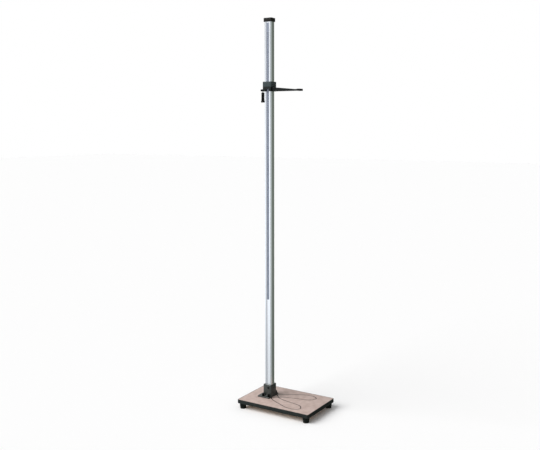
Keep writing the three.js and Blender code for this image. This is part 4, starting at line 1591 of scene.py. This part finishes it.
@dataclass
class LockLever(Assembly):
    """The lock: a screw through a brass insert, turned by a hub with a ball and a hanging handle."""

    body = "lock_lever"
    bore: float = 3.3
    hub_round: float = 1.1
    hub_crown: float = 0.4
    ball_steps: int = 8
    ball_round: float = 0.7
    thread: float = 1.0
    thread_depth: float = 0.3
    # The screw's ends: the plain length on both together, the lead before its first thread, its bevel,
    # and the length and narrowing of its point
    plain: float = 4
    lead: float = 1
    bevel: float = 0.5
    point: float = 1.5
    point_narrowing: float = 1
    stem_round: float = 0.5
    ribs: int = 7
    rib_depth: float = 0.35
    # How far the ribs stay from the handle's foot and its shoulder, and the shape of one
    rib_start: float = 8
    rib_stop: float = 6
    rib_shape: tuple[float, float, float] = (0.55, 0.65, 0.9)
    shoulder: float = 2.5
    neck: float = 4.8
    waist_depth: float = 0.3
    handle_round: float = 0.9
    foot_band: float = 4
    # The hole in the handle's foot, and the cap's peg in it
    socket: float = 5
    socket_depth: float = 9
    peg: float = 4.7
    cap_round: float = 1.8

    def build(self) -> None:
        """Make and dress the lever's pieces."""
        self.make_hub()
        self.make_ball()
        self.make_screw()
        self.make_handle()

    def axis(self) -> Vector:
        """Give the lock's axis, with no X."""
        return Vector((0, 0, node_middle("clamp_screw").z))

    def make_hub(self) -> None:
        """Turn the hub and drill the hole that takes the stem."""
        low, high = node_box("lever_eye")
        radius, waist = (high.y - low.y) / 2, (high.x - low.x) / 3
        face = radius - self.hub_crown
        hub = turned(softened([
            (self.bore, low.x), (face, low.x), (radius, low.x + waist), (radius, high.x - waist),
            (face, high.x), (self.bore, high.x), (self.bore, low.x)], self.hub_round), self.axis(), Axis.X)
        stem_low, stem_high = node_box("lever_stem")
        hole = drum(Vector((node_middle("lever_eye").x, 0, low.z - OVERCUT)),
                    (stem_high.x - stem_low.x) / 2 + ROOM, stem_high.z - low.z + (OVERCUT + ROOM), Axis.Z,
                    HOLE_SIDES)
        self.finish(cut(hub, hole), "lever_hub", BLACK_STEEL, "black_steel", "lever_eye")

    def make_ball(self) -> None:
        """Turn the ball-ended knob, with its threaded bore."""
        low, high = node_box("lever_knob")
        radius = (high.y - low.y) / 2
        screw_end = node_box("clamp_screw")[0].x - ROOM
        crown = [(radius * math.sin(turn), low.x + radius * (1 - math.cos(turn)))
                 for turn in quarter_turn(self.ball_steps)]
        profile = softened([
            (radius, low.x + radius), (radius, high.x), (self.bore, high.x), (self.bore, screw_end),
            (0, screw_end)], self.ball_round)
        self.finish(turned([*crown, *profile[1:]], self.axis(), Axis.X), "lever_ball", PHENOLIC,
                    "grip_plastic", "lever_knob")

    def make_screw(self) -> None:
        """Turn the clamp screw with a groove for each thread where it runs in the insert."""
        low, high = node_box("clamp_screw")
        radius = (high.y - low.y) / 2
        threads = []
        for turn in range(int((high.x - low.x - self.plain) / self.thread)):
            start = low.x + self.lead + turn * self.thread
            threads += [(radius, start), (radius - self.thread_depth, start + self.thread / 2)]
        screw = turned([
            (0, low.x), (radius - self.bevel, low.x), *threads, (radius, high.x - self.point),
            (radius - self.point_narrowing, high.x), (0, high.x)], self.axis(), Axis.X, HOLE_SIDES)
        self.finish(screw, "lever_screw", ZINC_STEEL, "zinc_steel", "clamp_screw")

    def make_handle(self) -> None:
        """Turn stem, handle and handle foot on the line that hangs from the hub."""
        stem_low, stem_high = node_box("lever_stem")
        line = Vector(((stem_low.x + stem_high.x) / 2, 0, 0))
        stem_radius = (stem_high.x - stem_low.x) / 2
        stem = sleeve(0, stem_radius, (stem_low.z, stem_high.z), self.stem_round, line, steps=HOLE_SIDES)
        self.finish(stem, "lever_rod", ZINC_STEEL, "zinc_steel", "lever_stem")
        low, high = node_box("lever_grip")
        radius = (high.x - low.x) / 2
        waist = radius - self.waist_depth
        rib_low, rib_high = low.z + self.rib_start, high.z - self.shoulder - self.rib_stop
        pitch = (rib_high - rib_low) / self.ribs
        crest, fall, floor = self.rib_shape
        groove = waist - self.rib_depth
        ribs = []
        for rib in range(self.ribs):
            start = rib_low + rib * pitch
            ribs += [(waist, start), (waist, start + pitch * crest), (groove, start + pitch * fall),
                     (groove, start + pitch * floor)]
        hole, hole_end = stem_radius + ROOM, stem_low.z - ROOM
        socket_end = low.z + self.socket_depth
        outside = softened([
            (self.socket, low.z), (radius, low.z), (radius, low.z + self.foot_band), *ribs,
            (waist, rib_high + 1), (radius, high.z - self.shoulder), (self.neck, high.z),
            (hole, high.z)], self.handle_round, 3)
        handle = turned([(0, socket_end), (self.socket, socket_end), *outside, (hole, hole_end),
                         (0, hole_end)], line)
        self.finish(handle, "lever_handle", PHENOLIC, "grip_plastic", "lever_grip")
        cap_low, cap_high = node_box("grip_end_cap")
        cap_radius, rim = (cap_high.x - cap_low.x) / 2, low.z - ROOM
        cap = turned(softened([
            (0, cap_low.z), (cap_radius, cap_low.z), (cap_radius, rim), (self.peg, rim),
            (self.peg, cap_high.z), (0, cap_high.z)], self.cap_round), line)
        self.finish(cap, "handle_foot", SOFT_PVC, "tip_rubber", "grip_end_cap")


@dataclass
class Brake(Assembly):
    """The small fixed and moving parts of the brake that hide in the collar."""

    body = "slider"
    insert_bore: float = 3.25
    insert_round: float = 0.4

    def build(self) -> None:
        """Turn the brass insert and dress the pad."""
        low, high = node_box("thread_insert")
        axis = Vector((0, 0, (low.z + high.z) / 2))
        radius = (high.y - low.y) / 2
        insert = sleeve(
            self.insert_bore, radius, (low.x, high.x), self.insert_round, axis, Axis.X, steps=36)
        self.finish(insert, "brass_bush", BRASS, "brass_insert", "thread_insert")
        self.dress("brake_pad", NYLON)


@dataclass
class Studio:
    """The floor, the lights, and the camera at the photograph's angle."""

    camera_place: tuple[float, float, float] = (2.0960, -3.5188, 1.5551)
    yaw: float = -31.999
    pitch: float = -7.326
    roll: float = -0.068
    focal_pixels: float = 762.51
    frame_width: float = 540
    sensor: float = 36
    floor_size: float = 60
    floor_colour: str = "fcfcfc"
    floor_roughness: float = 0.9
    ambient: float = 0.4
    # What a reflection shows: the cards by their turn in degrees from -Y over +X and back to -Y
    tent: tuple[tuple[float, str], ...] = (
        (0, "a0a3a6"), (40, "a5abab"), (90, "949a96"), (125, "787d76"), (149, "595f57"), (166, "666c64"),
        (190, "b7bdb8"), (215, "d6dada"), (290, "dadde4"), (306, "f6f9ff"), (333, "f6f9ff"), (345, "abacb3"),
        (360, "a0a3a6"))
    tent_light: float = 1.5
    # How much of that light is left above the camera's level and near the floor, as a grey by the same turn
    upper: tuple[tuple[float, str], ...] = (
        (0, "f4f4f4"), (150, "f4f4f4"), (190, "d0d0d0"), (215, "c8c8c8"), (333, "c0c0c0"), (360, "f4f4f4"))
    upper_from: tuple[float, float] = (0.02, 0.13)
    lower: tuple[tuple[float, str], ...] = (
        (0, "ffffff"), (150, "ffffff"), (190, "dededc"), (215, "dededc"), (345, "dededc"), (360, "ffffff"))
    lower_from: tuple[float, float] = (-0.23, -0.34)
    # How the light falls off towards the floor, by the slope of the reflection
    falloff: tuple[tuple[float, float], ...] = ((-0.34, 0.66), (-0.18, 1), (0.5, 0.9))
    key_strength: float = 2.9
    key_spread: float = 50
    key_from: tuple[float, float, float] = (-0.5, -0.62, 0.7)

    def build(self) -> None:
        """Set the stage."""
        self.make_camera()
        self.make_world()
        self.make_key()
        self.make_floor()
        bpy.context.scene.view_settings.view_transform = "Standard"

    def make_camera(self) -> None:
        """Stand the camera where the photograph was taken from."""
        deselect()
        bpy.ops.object.camera_add(location=self.camera_place)
        camera = bpy.context.object
        yaw, pitch = math.radians(self.yaw), math.radians(self.pitch)
        ahead = Vector((math.sin(yaw) * math.cos(pitch), math.cos(yaw) * math.cos(pitch), math.sin(pitch)))
        turn = ahead.to_track_quat("-Z", "Y").to_matrix() @ Matrix.Rotation(math.radians(self.roll), 3, "Z")
        camera.rotation_euler = turn.to_euler()
        camera.data.sensor_fit = "HORIZONTAL"
        camera.data.sensor_width = self.sensor
        camera.data.lens = self.focal_pixels / self.frame_width * self.sensor
        camera.data.clip_end = self.floor_size * 2
        bpy.context.scene.camera = camera

    def make_world(self) -> None:
        """Light all round at a low level, white to the camera, with the tent's cards in reflections."""
        world = bpy.data.worlds.new("Studio")
        world.use_nodes = True
        bpy.context.scene.world = world
        tree = world.node_tree
        tree.nodes.clear()
        rays = add_node(tree, "ShaderNodeLightPath")
        seen = add_node(tree, "ShaderNodeMath", {
            0: rays.outputs["Is Camera Ray"], 1: rays.outputs["Is Transmission Ray"]}, operation="MAXIMUM")
        plain = add_node(tree, "ShaderNodeMapRange", {
            "Value": seen.outputs[0], "To Min": self.ambient, "To Max": 1.0})
        shown = add_node(tree, "ShaderNodeMix", {
            "Factor": rays.outputs["Is Glossy Ray"], 6: plain.outputs["Result"], 7: self.tent_colour(tree)},
            data_type="RGBA")
        light = add_node(tree, "ShaderNodeBackground", {"Color": shown.outputs[2]})
        add_node(tree, "ShaderNodeOutputWorld", {"Surface": light.outputs["Background"]})

    @staticmethod
    def ramp(tree: Tree, value: Socket,
             stops: Sequence[tuple[float, tuple[float, float, float, float]]]) -> Socket:
        """Read a colour between stops.

        Args:
            tree: the node tree.
            value: the value that is looked up.
            stops: values, from low to high, with their colours.

        Returns:
            The colour.
        """
        first, last = stops[0][0], stops[-1][0]
        share = add_node(tree, "ShaderNodeMapRange", {"Value": value, "From Min": first, "From Max": last})
        made = add_node(tree, "ShaderNodeValToRGB", {"Fac": share.outputs["Result"]})
        marks = made.color_ramp.elements
        for place, _ in stops[1:-1]:
            marks.new((place - first) / (last - first))
        for mark, (_, colour) in zip(marks, stops):
            mark.color = colour
        return made.outputs["Color"]

    def tent_colour(self, tree: Tree) -> Socket:
        """Read the tent's light in the direction of a reflection.

        Args:
            tree: the world's node tree.

        Returns:
            The light.
        """
        way = add_node(tree, "ShaderNodeSeparateXYZ", {
            "Vector": add_node(tree, "ShaderNodeTexCoord").outputs["Generated"]})
        turn = add_node(tree, "ShaderNodeMath", {
            0: way.outputs["X"], 1: way.outputs["Y"]}, operation="ARCTAN2")
        degrees = add_node(tree, "ShaderNodeMapRange", {
            "Value": turn.outputs[0], "From Min": math.pi, "From Max": -math.pi, "To Max": 360})
        cards, above, below = (
            self.ramp(tree, degrees.outputs["Result"], [(at, linear(code)) for at, code in stops])
            for stops in (self.tent, self.upper, self.lower))
        levels = [(at, (level * self.tent_light,) * 3 + (1,)) for at, level in self.falloff]
        light = self.ramp(tree, way.outputs["Z"], levels)
        lit = add_node(tree, "ShaderNodeVectorMath", {0: cards, 1: light}, operation="MULTIPLY")
        shown = lit.outputs["Vector"]
        for left, (first, last) in ((above, self.upper_from), (below, self.lower_from)):
            reach = add_node(tree, "ShaderNodeMapRange", {
                "Value": way.outputs["Z"], "From Min": first, "From Max": last})
            shown = add_node(tree, "ShaderNodeMix", {"Factor": reach.outputs["Result"], 6: shown, 7: left},
                             data_type="RGBA", blend_type="MULTIPLY").outputs[2]
        return shown

    def make_key(self) -> None:
        """Hang one broad light on the left of the camera."""
        deselect()
        bpy.ops.object.light_add(type="SUN")
        key = bpy.context.object
        key.rotation_euler = Vector(self.key_from).to_track_quat("Z", "Y").to_euler()
        key.data.energy = self.key_strength
        key.data.angle = math.radians(self.key_spread)

    def make_floor(self) -> None:
        """Lay a plain pale floor."""
        deselect()
        bpy.ops.mesh.primitive_plane_add(size=self.floor_size)
        floor = bpy.context.object
        floor.name = "studio_floor"
        paint = bpy.data.materials.new("Pale studio floor")
        paint.use_nodes = True
        shader = paint.node_tree.nodes["Principled BSDF"]
        shader.inputs["Base Color"].default_value = linear(self.floor_colour)
        shader.inputs["Roughness"].default_value = self.floor_roughness
        shader.inputs["Specular IOR Level"].default_value = 0.0
        floor.data.materials.append(paint)
        floor.visible_glossy = False


def main() -> None:
    """Build the object in order, light it, and log each piece's face count."""
    logging.basicConfig(level=logging.INFO, format="%(name)s %(message)s")
    Studio().build()
    FootBoard().build(node_middle("column").x)
    Bracket().build()
    Post().build()
    Slider().build()
    LockLever().build()
    Brake().build()
    deselect()


if __name__ == "__main__":
    main()
